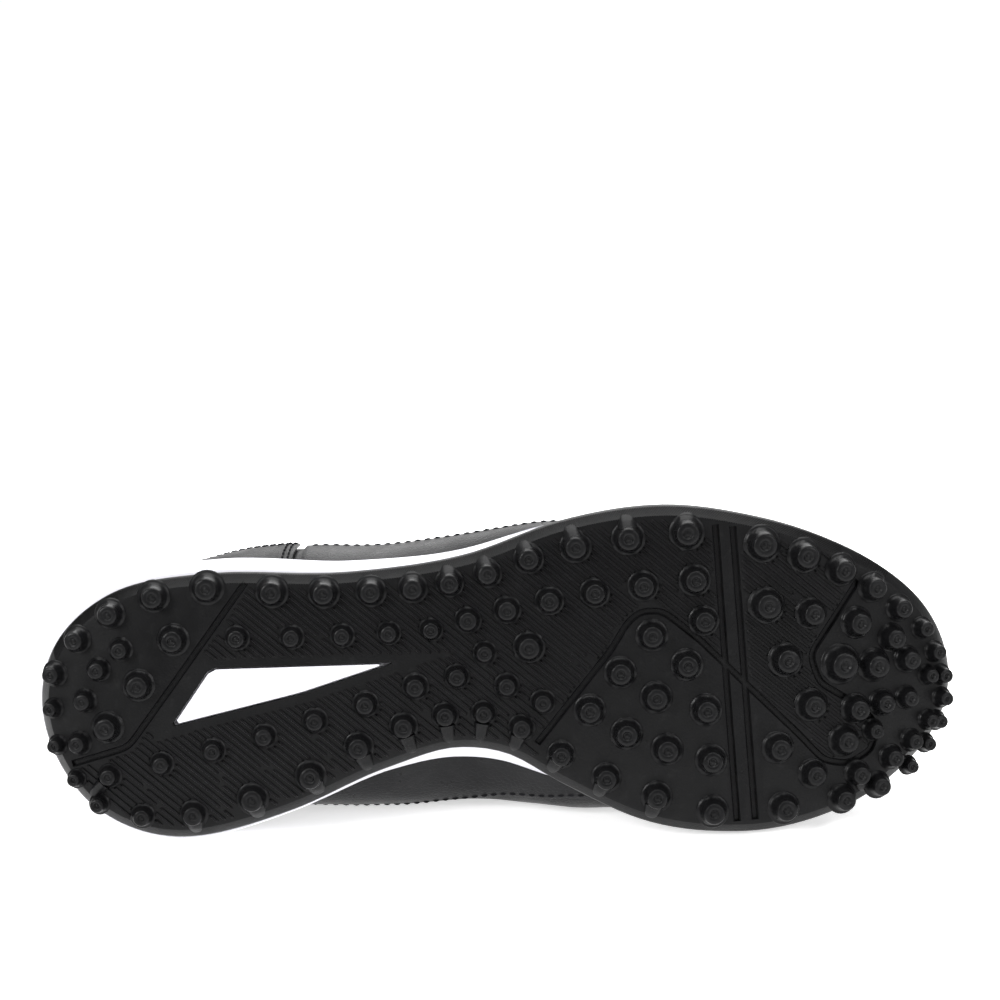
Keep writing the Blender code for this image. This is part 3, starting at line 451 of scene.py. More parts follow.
def stud_places():
    """Place and tip share of every stud."""
    places = []
    for values in STUD_ROWS:
        row = dict(zip(STUD_COLUMNS, values))
        first, middle, last = (
            on_plan((row[place + "_along"], row[place + "_across"])) for place in ("first", "middle", "last")
        )
        for i in range(row["count"]):
            t = i / max(row["count"] - 1, 1)
            x, y = first * (1 - t) * (1 - 2 * t) + middle * 4 * t * (1 - t) + last * t * (2 * t - 1)
            places.append((x, y, row["first_tip"] + (row["last_tip"] - row["first_tip"]) * t))
    return places


def tread_slope(x):
    """Slope of the tread along the shoe."""
    step = SHOE_LENGTH / 300
    return float(tread_height(x + step) - tread_height(x - step)) / (2 * step)


def outward(turn, foot):
    """Direction in which the upper swells at a station, seen from above."""
    heel = on_plan(HEEL_CENTRE)
    toe = on_plan(TOE_CENTRE)
    if foot[0] < heel[0]:
        away = foot - heel
    elif foot[0] > toe[0]:
        away = foot - toe
    else:
        away = np.array([0, -1.0 if turn % (2 * math.pi) < math.pi else 1.0])
    return unit(away)


def foot_inset(turn):
    """Inset of the upper's outer face where it stands inside the midsole's band."""
    along = outline(turn)[..., 0] / SHOE_LENGTH
    return (RIM_WALL + FIT_GAP) * standing_back(along) + LIP_WALL + 2 * FIT_GAP


def upper_handles(turn):
    """The profile of the upper at one station: its foot, and the four handles of the curve above."""
    along = float(outline(turn)[0]) / SHOE_LENGTH
    flat = outline_inset(turn, foot_inset(turn))
    ground = float(tread_height(flat[0]))
    bed = PLATE_THICKNESS + FIT_GAP + HEEL_STACK * read_side("stack", along)
    lip = RIM_HEIGHT * read_side("rim", along) + LIP_HEIGHT * read_side("lip", along) + 2 * FIT_GAP
    foot = np.array([*flat, ground + bed + FIT_GAP])
    knee = np.array([*flat, ground + lip + 2 * FIT_GAP])
    row = {name: float(read_loop(UPPER, UPPER_COLUMNS, name, turn)) for name in UPPER_COLUMNS[2:]}
    top = np.array([
        row["top_along"] * SHOE_LENGTH, row["top_across"] * BALL_WIDTH, row["top_height"] * COLLAR_HEIGHT,
    ])
    away = outward(turn, flat) * BALL_WIDTH
    low = knee + np.array([*(away * row["flare"]), row["rise"] * COLLAR_HEIGHT])
    high = top + np.array([*(away * row["spread"]), -row["drop"] * COLLAR_HEIGHT])
    return foot, knee, low, high, top


def on_profile(handles, t):
    """Point of a profile: 0 is the knee above the sole and 1 is the edge of the opening."""
    knee, low, high, top = handles[1:]
    return knee * (1 - t) ** 3 + low * 3 * t * (1 - t) ** 2 + high * 3 * t ** 2 * (1 - t) + top * t ** 3


def edge_share(handles, distance):
    """Place on a profile that lies at a distance below the edge of the opening."""
    return 1 - distance / (3 * np.linalg.norm(handles[4] - handles[3]))


def upper_grid():
    """Outer face of the upper: one profile a station, from the foot bed to the opening's edge."""
    lines = []
    for turn in turns():
        handles = upper_handles(turn)
        curve = [on_profile(handles, level / (LEVELS - 1)) for level in range(LEVELS)]
        lines.append([handles[0]] + curve)
    return np.array(lines)


def upper_normal(turn, t):
    """Outward direction of the upper at a place on its outer face."""
    step = 0.02
    around = on_profile(upper_handles(turn + step), t) - on_profile(upper_handles(turn - step), t)
    handles = upper_handles(turn)
    up = on_profile(handles, t + step) - on_profile(handles, t - step)
    return unit(np.cross(around, up))


def over_upper(turn, t, lift):
    """Point above the upper's outer face, or inside it where lift is negative."""
    return on_profile(upper_handles(turn), t) + upper_normal(turn, t) * lift


def throat_turn(share):
    """Station on the outer side whose profile ends at a share of the throat: 0 top, 1 front."""
    angles = np.linspace(turn_of("outer", THROAT_TOP), turn_of("outer", THROAT_FRONT), THROAT_STEPS)
    ends = read_loop(UPPER, UPPER_COLUMNS, "top_along", angles)
    return float(np.interp(ends[0] + (ends[-1] - ends[0]) * share, ends, angles))


def eyelet_shares():
    """Place of each pair of eyelets along the throat, from the front one upwards."""
    step = (EYELET_LAST - EYELET_FIRST) / (EYELET_PAIRS - 1)
    return [EYELET_LAST - step * pair for pair in range(EYELET_PAIRS)]


def both_sides(turn):
    """The station and its partner on the inner side of the shoe."""
    return (turn, 2 * math.pi - turn)


def tongue_section(share):
    """Top face of the tongue across the throat, from the outer side to the inner side."""
    under = -(WALL + TONGUE_CLEARANCE)
    reach = np.interp(share, (0, TONGUE_WAIST), (TONGUE_TOP_REACH, TONGUE_REACH))
    sides = []
    for turn in both_sides(throat_turn(share)):
        handles = upper_handles(turn)
        places = [edge_share(handles, reach * part) for part in (1.0, 0.5, 0.0)]
        sides.append([over_upper(turn, t, under) for t in places])
    outer, inner = sides[0], sides[1][::-1]
    gap = np.linalg.norm(outer[-1] - inner[0])
    crown = (outer[-1] + inner[0]) / 2 + np.array([0, 0, TONGUE_CROWN * gap])
    keys = np.array(outer + [crown] + inner)
    run = np.concatenate([[0], np.cumsum(np.linalg.norm(np.diff(keys, axis=0), axis=1))])
    places = np.linspace(0, run[-1], TONGUE_POINTS)
    return np.column_stack([smooth(run, keys[:, axis], places) for axis in range(3)])



# Looks
RIB_PITCH = 0.0020
RIB_WIDTH = 0.0009
RIB_HEIGHT = 0.0006
RIB_ANGLE = math.radians(39)
RIB_LONGEST = 0.034
KNURL_PITCH = 0.00078
STITCH_LENGTH = 0.0019
STITCH_PITCH = 0.0027
STITCH_RADIUS = 0.00034
SEAM_LIFT = 0.00025

# The photograph's view: the shoe's length and middle in pixels of its square frame, and the camera
PHOTO_SIDE = 1000
PHOTO_SHOE_LENGTH = 917
PHOTO_MIDDLE_ACROSS = 498.5
PHOTO_MIDDLE_DOWN = 690
CAMERA_TILT = math.radians(8.5)
CAMERA_DISTANCE = 0.800
CAMERA_AIM = (0.145, 0.0, 0.008)
SENSOR_WIDTH = 36

# A stud's profile from its foot on the tread to the dimple in its tip: radius as a share of the
# tip's, and height as a share of the stud's.
STUD_PROFILE = (
    (1.66, -0.06), (1.60, 0.03), (1.50, 0.055), (1.33, 0.11), (1.19, 0.30), (1.08, 0.62),
    (1.02, 0.88), (0.96, 0.965), (0.88, 1.0), (0.50, 1.0), (0.42, 0.975), (0.34, 0.86),
    (0.24, 0.84), (0.13, 0.87), (0.0, 0.885),
)
STUD_ROUND = 24

# The ribbed finger at the toe, along and across in shares, between the two flex grooves and the
# toe pad's groove.
TOE_BAND = (
    (0.758, -0.60), (0.7705, -0.030), (0.828, 0.138), (0.856, 0.220), (0.884, 0.232), (0.910, 0.190),
    (0.914, 0.110), (0.892, 0.050), (0.850, -0.020), (0.839, -0.106), (0.892, -0.330), (0.930, -0.60),
)


def node_material(name, base, roughness):
    """A material with its shader and texture coordinates ready for bump and variation."""
    material = bpy.data.materials.new(name)
    material.use_nodes = True
    tree = material.node_tree
    shader = tree.nodes["Principled BSDF"]
    shader.inputs["Base Color"].default_value = (*base, 1)
    shader.inputs["Roughness"].default_value = roughness
    shader.inputs["Specular IOR Level"].default_value = 0.12
    coords = tree.nodes.new("ShaderNodeTexCoord")
    return material, tree, shader, coords.outputs["Object"]


def noise(tree, coords, scale, detail=3.0, rough=0.55):
    """Noise at a scale a metre."""
    node = tree.nodes.new("ShaderNodeTexNoise")
    node.inputs["Scale"].default_value = scale
    node.inputs["Detail"].default_value = detail
    node.inputs["Roughness"].default_value = rough
    tree.links.new(coords, node.inputs["Vector"])
    return node.outputs["Fac"]


def ramp(tree, value, low, high, first, last):
    """Map a value to a range of colours or numbers."""
    node = tree.nodes.new("ShaderNodeValToRGB")
    node.color_ramp.elements[0].position = low
    node.color_ramp.elements[0].color = first
    node.color_ramp.elements[1].position = high
    node.color_ramp.elements[1].color = last
    tree.links.new(value, node.inputs["Fac"])
    return node.outputs["Color"]


def grey(level):
    """A grey as a colour with alpha."""
    return (level, level, level, 1)


def bump(tree, shader, heights, distance, strength):
    """Bump from one or two height fields."""
    before = None
    for height, share in heights:
        node = tree.nodes.new("ShaderNodeBump")
        node.inputs["Strength"].default_value = strength * share
        node.inputs["Distance"].default_value = distance
        tree.links.new(height, node.inputs["Height"])
        if before is not None:
            tree.links.new(before, node.inputs["Normal"])
        before = node.outputs["Normal"]
    tree.links.new(before, shader.inputs["Normal"])


def rubber_material(name, level, roughness):
    """Black moulded rubber with a soft sheen, a matt grain and a trace of dust."""
    material, tree, shader, coords = node_material(name, (level, level, level * 1.08), roughness)
    dust = ramp(tree, noise(tree, coords, 260, 6, 0.7), 0.56, 0.80,
                (level, level, level * 1.08, 1), (level * 2.6, level * 2.6, level * 2.7, 1))
    tree.links.new(dust, shader.inputs["Base Color"])
    gloss = ramp(tree, noise(tree, coords, 90, 4), 0.3, 0.7, grey(roughness - 0.07), grey(roughness + 0.08))
    tree.links.new(gloss, shader.inputs["Roughness"])
    grain = ((noise(tree, coords, 1500, 2), 1.0), (noise(tree, coords, 160, 3), 0.5))
    bump(tree, shader, grain, 0.0003, 0.25)
    return material


def foam_material():
    """White moulded foam with a fine grain."""
    material, tree, shader, coords = node_material("white_foam", (0.69, 0.685, 0.73), 0.55)
    tint = ramp(tree, noise(tree, coords, 40, 4), 0.35, 0.75, (0.66, 0.655, 0.70, 1), (0.72, 0.715, 0.75, 1))
    tree.links.new(tint, shader.inputs["Base Color"])
    grain = ((noise(tree, coords, 1800, 2), 1.0), (noise(tree, coords, 300, 3), 0.6))
    bump(tree, shader, grain, 0.0002, 0.35)
    return material


def leather_material(name, level, roughness):
    """Black leather with a pebbled grain, fine creases and uneven gloss."""
    material, tree, shader, coords = node_material(name, (level, level, level * 1.1), roughness)
    shader.inputs["Coat Weight"].default_value = 0.04
    shader.inputs["Coat Roughness"].default_value = 0.32
    cells = tree.nodes.new("ShaderNodeTexVoronoi")
    cells.feature = "DISTANCE_TO_EDGE"
    cells.inputs["Scale"].default_value = 620
    tree.links.new(coords, cells.inputs["Vector"])
    pebble = ramp(tree, cells.outputs["Distance"], 0.0, 0.10, grey(0.0), grey(1.0))
    wear = ramp(tree, noise(tree, coords, 55, 5), 0.35, 0.75,
                (level, level, level * 1.1, 1), (level * 1.9, level * 1.9, level * 2.0, 1))
    tree.links.new(wear, shader.inputs["Base Color"])
    gloss = ramp(tree, noise(tree, coords, 120, 4), 0.3, 0.7, grey(roughness - 0.06), grey(roughness + 0.08))
    tree.links.new(gloss, shader.inputs["Roughness"])
    pores = noise(tree, coords, 2600, 2)
    folds = noise(tree, coords, 70, 4)
    bump(tree, shader, ((pebble, 0.45), (pores, 0.4), (folds, 0.5)), 0.0003, 0.5)
    return material


def woven_material(name, base, scale, strength):
    """Woven or knitted yarn: two crossed waves."""
    material, tree, shader, coords = node_material(name, base, 0.85)
    waves = []
    for direction in ("X", "Y", "Z"):
        wave = tree.nodes.new("ShaderNodeTexWave")
        wave.bands_direction = direction
        wave.inputs["Scale"].default_value = scale
        wave.inputs["Distortion"].default_value = 0.6
        tree.links.new(coords, wave.inputs["Vector"])
        waves.append((wave.outputs["Fac"], 1.0))
    shade = ramp(tree, noise(tree, coords, 500, 4), 0.3, 0.75, (*[c * 0.75 for c in base], 1),
                 (*[min(c * 1.5, 1) for c in base], 1))
    tree.links.new(shade, shader.inputs["Base Color"])
    bump(tree, shader, waves, 0.0004, strength)
    return material


RUBBER = rubber_material("black_rubber", 0.0034, 0.38)
STUD_RUBBER = rubber_material("stud_rubber", 0.0042, 0.30)
FOAM = foam_material()
LEATHER = leather_material("black_leather", 0.0055, 0.36)
SMOOTH_LEATHER = leather_material("smooth_black_leather", 0.0075, 0.32)
THREAD = woven_material("black_thread", (0.012, 0.012, 0.014), 1500, 0.5)
LINING = woven_material("lining", (0.020, 0.020, 0.024), 420, 0.5)
LACE = woven_material("lace_weave", (0.012, 0.012, 0.014), 560, 0.7)
SOCK = woven_material("insole_cover", (0.030, 0.030, 0.034), 300, 0.6)


def add_piece(name, bm_or_mesh, materials, nodes=(), sharp=32):
    """Lay a standing mesh down as a smooth-shaded piece that rides on the shoe."""
    if isinstance(bm_or_mesh, bmesh.types.BMesh):
        mesh = bpy.data.meshes.new(name)
        bm_or_mesh.to_mesh(mesh)
        bm_or_mesh.free()
    else:
        mesh = bm_or_mesh
    mesh.materials.clear()
    for material in materials:
        mesh.materials.append(material)
    mesh.transform(TO_FLOOR)
    mesh.shade_smooth()
    mesh.set_sharp_from_angle(angle=math.radians(sharp))
    piece = bpy.data.objects.new(name, mesh)
    bpy.context.scene.collection.objects.link(piece)
    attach(piece, "root")
    if nodes:
        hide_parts(*nodes)
    return piece


def plain_object(name, bm):
    """Helper object of a mesh, in the standing frame."""
    mesh = bpy.data.meshes.new(name)
    bm.to_mesh(mesh)
    bm.free()
    obj = bpy.data.objects.new(name, mesh)
    bpy.context.scene.collection.objects.link(obj)
    return obj


def settled(obj, tools=()):
    """The object's mesh with its modifiers applied; the object and its tools are removed."""
    bpy.context.view_layer.update()
    graph = bpy.context.evaluated_depsgraph_get()
    mesh = bpy.data.meshes.new_from_object(obj.evaluated_get(graph))
    for item in (obj, *tools):
        bpy.data.objects.remove(item, do_unlink=True)
    return mesh


def cut_with(target, tools, operation="DIFFERENCE"):
    """Boolean modifiers, one for each tool."""
    for tool in tools:
        modifier = target.modifiers.new(tool.name, "BOOLEAN")
        modifier.operation = operation
        modifier.solver = "EXACT"
        modifier.use_self = True
        modifier.object = tool


def soften(obj, width, segments=2, limit=40):
    """Round the edges of a helper object."""
    modifier = obj.modifiers.new("edges", "BEVEL")
    modifier.width = width
    modifier.segments = segments
    modifier.limit_method = "ANGLE"
    modifier.angle_limit = math.radians(limit)


def walled(obj, thickness, offset, inner=0):
    """Give a sheet its thickness and its inner faces another material."""
    modifier = obj.modifiers.new("wall", "SOLIDIFY")
    modifier.thickness = thickness
    modifier.offset = offset
    modifier.material_offset = inner
    return modifier


def sheet_of(grid, closed):
    """Open sheet of a grid of points."""
    bm = bmesh.new()
    rows = [[bm.verts.new(point) for point in line] for line in grid]
    count = len(rows) if closed else len(rows) - 1
    for i in range(count):
        first, second = rows[i], rows[(i + 1) % len(rows)]
        for k in range(len(first) - 1):
            bm.faces.new((first[k], second[k], second[k + 1], first[k + 1]))
    return bm


def rounded_path(places, step=0.0015):
    """Smooth path on the tread through places given in shares, with its corners rounded."""
    keys = np.array([on_plan(place) for place in places])
    run = np.concatenate([[0], np.cumsum(np.linalg.norm(np.diff(keys, axis=0), axis=1))])
    at = np.linspace(0, run[-1], int(run[-1] / step) + 2)
    path = np.column_stack([np.interp(at, run, keys[:, axis]) for axis in range(2)])
    for _ in range(3):
        path[1:-1] = (path[:-2] + 2 * path[1:-1] + path[2:]) / 4
    return path


def groove_tool(name, places):
    """Cutter of a groove with bevelled lips."""
    path = rounded_path(places)
    ahead = np.gradient(path, axis=0)
    ahead /= np.linalg.norm(ahead, axis=1, keepdims=True)
    side = np.column_stack([-ahead[:, 1], ahead[:, 0]])
    half = GROOVE_WIDTH / 2
    section = (
        (half * 1.9, -0.0006), (half * 1.45, 0.0), (half * 0.95, 0.0005),
        (half * 0.8, GROOVE_DEPTH * 1.3), (-half * 0.8, GROOVE_DEPTH * 1.3),
        (-half * 0.95, 0.0005), (-half * 1.45, 0.0), (-half * 1.9, -0.0006),
    )
    bm = bmesh.new()
    rows = []
    for point, out in zip(path, side):
        row = []
        for offset, lift in section:
            x, y = point + out * offset
            row.append(bm.verts.new((x, y, float(tread_height(x)) + lift)))
        rows.append(row)
    count = len(section)
    for first, second in zip(rows, rows[1:]):
        for i in range(count):
            j = (i + 1) % count
            bm.faces.new((first[i], first[j], second[j], second[i]))
    bm.faces.new(rows[0])
    bm.faces.new(rows[-1])
    bmesh.ops.recalc_face_normals(bm, faces=bm.faces)
    return plain_object(name, bm)


def dress_outsole():
    """Rubber plate with a rounded rim, bevelled window and grooves."""
    rim = rim_lift()
    rings = [
        ring(EDGE_BEVEL_WIDTH + 0.0006, 0), ring(EDGE_BEVEL_WIDTH - 0.0005, 0.0002),
        ring(0.0005, EDGE_BEVEL_RISE - 0.0005), ring(0, EDGE_BEVEL_RISE + 0.0006),
        ring(0, rim - 0.0005), ring(0.0004, rim), ring(RIM_WALL, rim), ring(RIM_WALL, PLATE_THICKNESS),
    ]
    plate = plain_object("plate", layered_solid(rings))
    window = plain_object("window_tool", prism(window_outline(0), 0, WINDOW_DEPTH))
    soften(window, 0.0009, 4, 20)
    tools = [window] + [groove_tool(name, places) for name, places in GROOVES.items()]
    cut_with(plate, tools)
    return add_piece("outsole_plate", settled(plate, tools), [RUBBER], ["outsole"], 28)


def stud_matrix(x, y):
    """Place of a stud on the tread, its axis square to it."""
    tilt = Matrix.Rotation(math.pi - math.atan(tread_slope(x)), 4, "Y")
    return Matrix.Translation((x, y, float(tread_height(x)))) @ tilt


def dress_studs():
    """All studs as turned cones with a flange and a dimple, and a buttress on those by the edge."""
    bm = bmesh.new()
    angles = np.arange(STUD_ROUND) * 2 * math.pi / STUD_ROUND
    edge = outline(np.linspace(0, 2 * math.pi, 720, endpoint=False))
    for x, y, tip in stud_places():
        height = STUD_HEIGHT * min(1, STUD_LEAST_HEIGHT + (1 - STUD_LEAST_HEIGHT) * tip)
        place = stud_matrix(x, y)
        before = None
        for share, rise in STUD_PROFILE:
            radius = STUD_TIP_RADIUS * tip * share
            level = height * rise
            if share > 0:
                points = [
                    bm.verts.new(place @ Vector((radius * math.cos(a), radius * math.sin(a), level)))
                    for a in angles
                ]
            else:
                middle = bm.verts.new(place @ Vector((0, 0, level)))
                for i in range(STUD_ROUND):
                    bm.faces.new((before[i], before[(i + 1) % STUD_ROUND], middle))
                break
            if before is not None:
                for i in range(STUD_ROUND):
                    j = (i + 1) % STUD_ROUND
                    bm.faces.new((before[i], before[j], points[j], points[i]))
            before = points
        gaps = np.linalg.norm(edge - np.array([x, y]), axis=1)
        near = int(np.argmin(gaps))
        reach = gaps[near] - 0.0012
        if reach < 0.0115 and 0.06 < x / SHOE_LENGTH < 0.93:
            away = unit(edge[near] - np.array([x, y]))
            across = np.array([-away[1], away[0]])
            rows = []
            for step in np.linspace(0.2, 1, 6):
                far = STUD_TIP_RADIUS * tip * 0.6 + (reach - STUD_TIP_RADIUS * tip * 0.6) * step
                wide = STUD_TIP_RADIUS * tip * (1.12 - 0.62 * step)
                high = height * 0.80 * (1 - step) ** 1.1 + 0.0002
                row = []
                for a in np.linspace(0, math.pi, 9):
                    px, py = np.array([x, y]) + away * far + across * wide * math.cos(a)
                    lift = -high * math.sin(a) ** 0.8 + 0.0004
                    over = max(0.0, EDGE_BEVEL_WIDTH - (reach + 0.0012 - far)) / EDGE_BEVEL_WIDTH
                    level = float(tread_height(px)) + lift + over * EDGE_BEVEL_RISE * 0.95
                    row.append(bm.verts.new((px, py, level)))
                rows.append(row)
            for first, second in zip(rows, rows[1:]):
                for k in range(8):
                    bm.faces.new((first[k], first[k + 1], second[k + 1], second[k]))
            bm.faces.new(rows[-1])
            bm.faces.new(rows[0])
            for first, second in zip(rows, rows[1:]):
                bm.faces.new((first[0], second[0], second[-1], first[-1]))
    bmesh.ops.recalc_face_normals(bm, faces=bm.faces)
    return add_piece("studs", bm, [STUD_RUBBER], (), 50)


def in_polygon(points, polygon):
    """Which points lie inside a polygon."""
    inside = np.zeros(len(points), bool)
    x, y = points[:, 0], points[:, 1]
    for i in range(len(polygon)):
        a, b = polygon[i - 1], polygon[i]
        crosses = (a[1] > y) != (b[1] > y)
        with np.errstate(divide="ignore", invalid="ignore"):
            at = (b[0] - a[0]) * (y - a[1]) / (b[1] - a[1]) + a[0]
        inside ^= crosses & (x < at)
    return inside


def far_from(points, path, distance):
    """Which points are farther than a distance from a path."""
    keep = np.ones(len(points), bool)
    for place in path:
        keep &= np.hypot(points[:, 0] - place[0], points[:, 1] - place[1]) > distance
    return keep


def ribbed(points):
    """Which places of the tread carry ribs: the waist and the band at the toe, off pads and grooves."""
    inner_edge = outline_inset(np.linspace(0, 2 * math.pi, 200, endpoint=False), np.full(200, 0.0041))
    keep = in_polygon(points, inner_edge)
    heel = np.array([on_plan(place) for place in GROOVES["heel_groove"]])
    ball = np.array([on_plan(place) for place in GROOVES["ball_groove"][:8]])
    rear = np.array([on_plan(place) for place in GROOVES["flex_groove_rear"]])
    past_heel = points[:, 0] > np.interp(points[:, 1], heel[:, 1], heel[:, 0])
    past_heel |= points[:, 1] > heel[-1, 1]
    before_ball = points[:, 1] < np.interp(points[:, 0], ball[:, 0], ball[:, 1])
    before_ball |= points[:, 0] < ball[0, 0]
    waist = past_heel & before_ball & (points[:, 0] < np.interp(points[:, 1], rear[:, 1], rear[:, 0]))
    band = in_polygon(points, [on_plan(place) for place in TOE_BAND])
    keep &= waist | band
    for places in GROOVES.values():
        keep &= far_from(points, rounded_path(places, 0.001), GROOVE_WIDTH * 1.05)
    frame_of_window = window_outline(-0.0028)
    keep &= ~in_polygon(points, frame_of_window)
    tip = on_plan((0.433, -0.092))
    recess = [frame_of_window[4], tip, frame_of_window[5]]
    keep &= ~in_polygon(points, recess)
    for x, y, share in stud_places():
        keep &= np.hypot(points[:, 0] - x, points[:, 1] - y) > STUD_TIP_RADIUS * share * 1.55
    return keep


def add_bar(bm, path, width, height, sink=0.0003):
    """Low bar with sloping sides along a path on the tread."""
    ahead = unit(path[-1] - path[0])
    side = np.array([-ahead[1], ahead[0]])
    rows = []
    for k, point in enumerate(path):
        share = 0.0 if k in (0, len(path) - 1) else 1.0
        row = []
        for offset, lift in ((0.62, sink), (0.36, -height * share), (-0.36, -height * share), (-0.62, sink)):
            x, y = point + side * width * offset
            row.append(bm.verts.new((x, y, float(tread_height(x)) + lift)))
        rows.append(row)
    for first, second in zip(rows, rows[1:]):
        for i in range(4):
            j = (i + 1) % 4
            bm.faces.new((first[i], first[j], second[j], second[i]))
    bm.faces.new(rows[0])
    bm.faces.new(rows[-1])


def dress_ribs():
    """Slanted ribs of the tread, broken into lengths, and the fine bars on the rim."""
    bm = bmesh.new()
    ahead = np.array([math.cos(RIB_ANGLE), math.sin(RIB_ANGLE)])
    side = np.array([-ahead[1], ahead[0]])
    chance = np.random.default_rng(7)
    step = 0.0005
    for k in range(-110, 130):
        start = np.array([SHOE_LENGTH / 2, 0]) + side * k * RIB_PITCH
        at = np.arange(-0.21, 0.21, step)
        points = start + at[:, None] * ahead
        keep = ribbed(points)
        first = None
        longest = chance.uniform(0.012, RIB_LONGEST)
        for i in range(len(points)):
            if keep[i] and first is None:
                first = i
            ends = first is not None and (not keep[i] or (i - first) * step > longest)
            if ends:
                length = (i - first) * step
                if length > 0.0028:
                    inner = np.linspace(first + 1.4, i - 1.4, max(2, int(length / 0.008) + 2))
                    places = [first, *inner, i]
                    path = np.array([start + (at[0] + place * step) * ahead for place in places])
                    add_bar(bm, path, RIB_WIDTH, RIB_HEIGHT)
                first = None
                longest = chance.uniform(0.012, RIB_LONGEST)
                if keep[i]:
                    keep[i:i + 3] = False
    for low, high, slant in ((0.20, 2.42, 0.0012), (2.48, 2.62, -0.0012)):
        angles = np.linspace(low, high, 700)
        edge = outline(angles)
        run = np.concatenate([[0], np.cumsum(np.linalg.norm(np.diff(edge, axis=0), axis=1))])
        for at in np.arange(0, run[-1] - 0.002, KNURL_PITCH):
            foot, head = np.interp([at, at + slant + 0.0013], run, angles)
            bar = []
            for turn, inset, lift in (
                (foot, EDGE_BEVEL_WIDTH * 0.93, 0.0002),
                (head, EDGE_BEVEL_WIDTH * 0.12, EDGE_BEVEL_RISE * 0.87),
            ):
                x, y = outline_inset(turn, inset)
                bar.append(np.array([x, y, float(tread_height(x)) + lift]))
            line = unit(bar[1] - bar[0])
            outwards = unit(outline(foot) - outline_inset(foot, 0.001))
            normal = unit(np.array([outwards[0], outwards[1], -1.05]))
            wide = np.cross(line, normal) * 0.00021
            rows = []
            for point in bar:
                corners = (point - wide * 1.5 - normal * 0.0002, point - wide + normal * 0.0002,
                           point + wide + normal * 0.0002, point + wide * 1.5 - normal * 0.0002)
                rows.append([bm.verts.new(corner) for corner in corners])
            for i in range(4):
                j = (i + 1) % 4
                bm.faces.new((rows[0][i], rows[0][j], rows[1][j], rows[1][i]))
            bm.faces.new(rows[0])
            bm.faces.new(rows[1])
    bmesh.ops.recalc_face_normals(bm, faces=bm.faces)
    return add_piece("tread_ribs", bm, [RUBBER], (), 30)


def dress_midsole():
    """White foam: band with a soft top edge, and the pad in the window."""
    rim = rim_lift()
    foot = lip_foot_inset()
    top = lip_lift()
    inner = lip_inner_inset()
    bed = bed_lift()
    flare = FOAM_FLARE * np.clip(read_loop(OUTLINE, OUTLINE_COLUMNS, "flare", turns()), 0, None)
    base = rim + 2 * FIT_GAP
    high = top - base
    rings = [
        ring(RIM_WALL + FIT_GAP, PLATE_THICKNESS + FIT_GAP), ring(RIM_WALL + FIT_GAP, rim + FIT_GAP),
        ring(foot + 0.0005, base), ring(foot, base + np.minimum(0.0006, high * 0.2)),
    ]
    for share in (0.25, 0.45, 0.62, 0.78):
        rings.append(ring(foot - flare * share ** 0.85, base + high * share))
    rounding = np.minimum(0.0012, high * 0.3)
    for share in (0.0, 0.35, 0.7, 1.0):
        rings.append(ring(
            foot - flare + rounding * (1 - math.cos(share * math.pi / 2)),
            top - rounding * (1 - math.sin(share * math.pi / 2)),
        ))
    rings += [ring(inner, top), ring(inner + FIT_GAP, bed)]
    midsole = plain_object("foam", layered_solid(rings))
    low = STUD_HEIGHT + GROOVE_DEPTH
    pad = plain_object("pad", prism(window_outline(2 * FIT_GAP), low - 0.0004, low + PLATE_THICKNESS))
    cut_with(midsole, [pad], "UNION")
    return add_piece("midsole_foam", settled(midsole, [pad]), [FOAM], ["midsole"], 40)


def dress_insole():
    """Insole with a raised edge at the heel and a woven cover."""
    inset = foot_inset(turns()) + WALL + INSOLE_CLEARANCE
    bed = bed_lift() + FIT_GAP
    rings = [ring(inset, bed)]
    for further, share in ((0, 0.8), (0.0006, 1), (0.006, 0.95), (0.012, 0.9)):
        rings.append(ring(inset + further, bed + INSOLE_THICKNESS * share))
    return add_piece("insole_cover", layered_solid(rings), [SOCK], ["insole"], 40)


def crease_depth(grid):
    """Inward depth of the creases across the vamp, at each point of the upper's grid."""
    x = grid[:, :, 0] / SHOE_LENGTH
    y = grid[:, :, 1] / BALL_WIDTH
    depth = np.zeros(x.shape)
    for place, slope, width, deep in (
        (0.672, 0.06, 0.0055, 0.0007), (0.700, -0.05, 0.0065, 0.0010), (0.728, 0.03, 0.0055, 0.0008),
        (0.755, -0.04, 0.0050, 0.0005), (0.640, -0.09, 0.0050, 0.0005),
    ):
        line = place + slope * y + 0.004 * np.sin(14 * y + 40 * place)
        fade = np.clip((grid[:, :, 2] - 0.025) / 0.02, 0, 1)
        depth += deep * np.exp(-((x - line) / width) ** 2) * fade
    return depth


def dressed_grid():
    """The upper's outer face with a padded collar, creases and the softness of leather."""
    grid = upper_grid()
    around = np.roll(grid, -1, axis=0) - np.roll(grid, 1, axis=0)
    up = np.gradient(grid, axis=1)
    normal = np.cross(around, up)
    normal /= np.linalg.norm(normal, axis=2, keepdims=True) + 1e-12
    levels = np.linspace(0, 1, LEVELS + 1)
    behind = np.clip((PADDING_END + 0.03 - grid[:, -1, 0] / SHOE_LENGTH) / PADDING_FADE, 0, 1)[:, None]
    roll = 0.0016 * np.exp(-((levels - 0.925) / 0.045) ** 2)
    roll = roll - 0.0008 * np.exp(-((levels - 0.82) / 0.018) ** 2)
    along = np.sin(grid[:, :, 0] * 170 + 3 * np.sin(grid[:, :, 2] * 90))
    waves = 0.00025 * along * np.sin(grid[:, :, 2] * 150)
    lift = roll[None, :] * behind + waves * np.clip(levels * 4, 0, 1)[None, :] - crease_depth(grid)
    return grid + normal * lift[:, :, None]


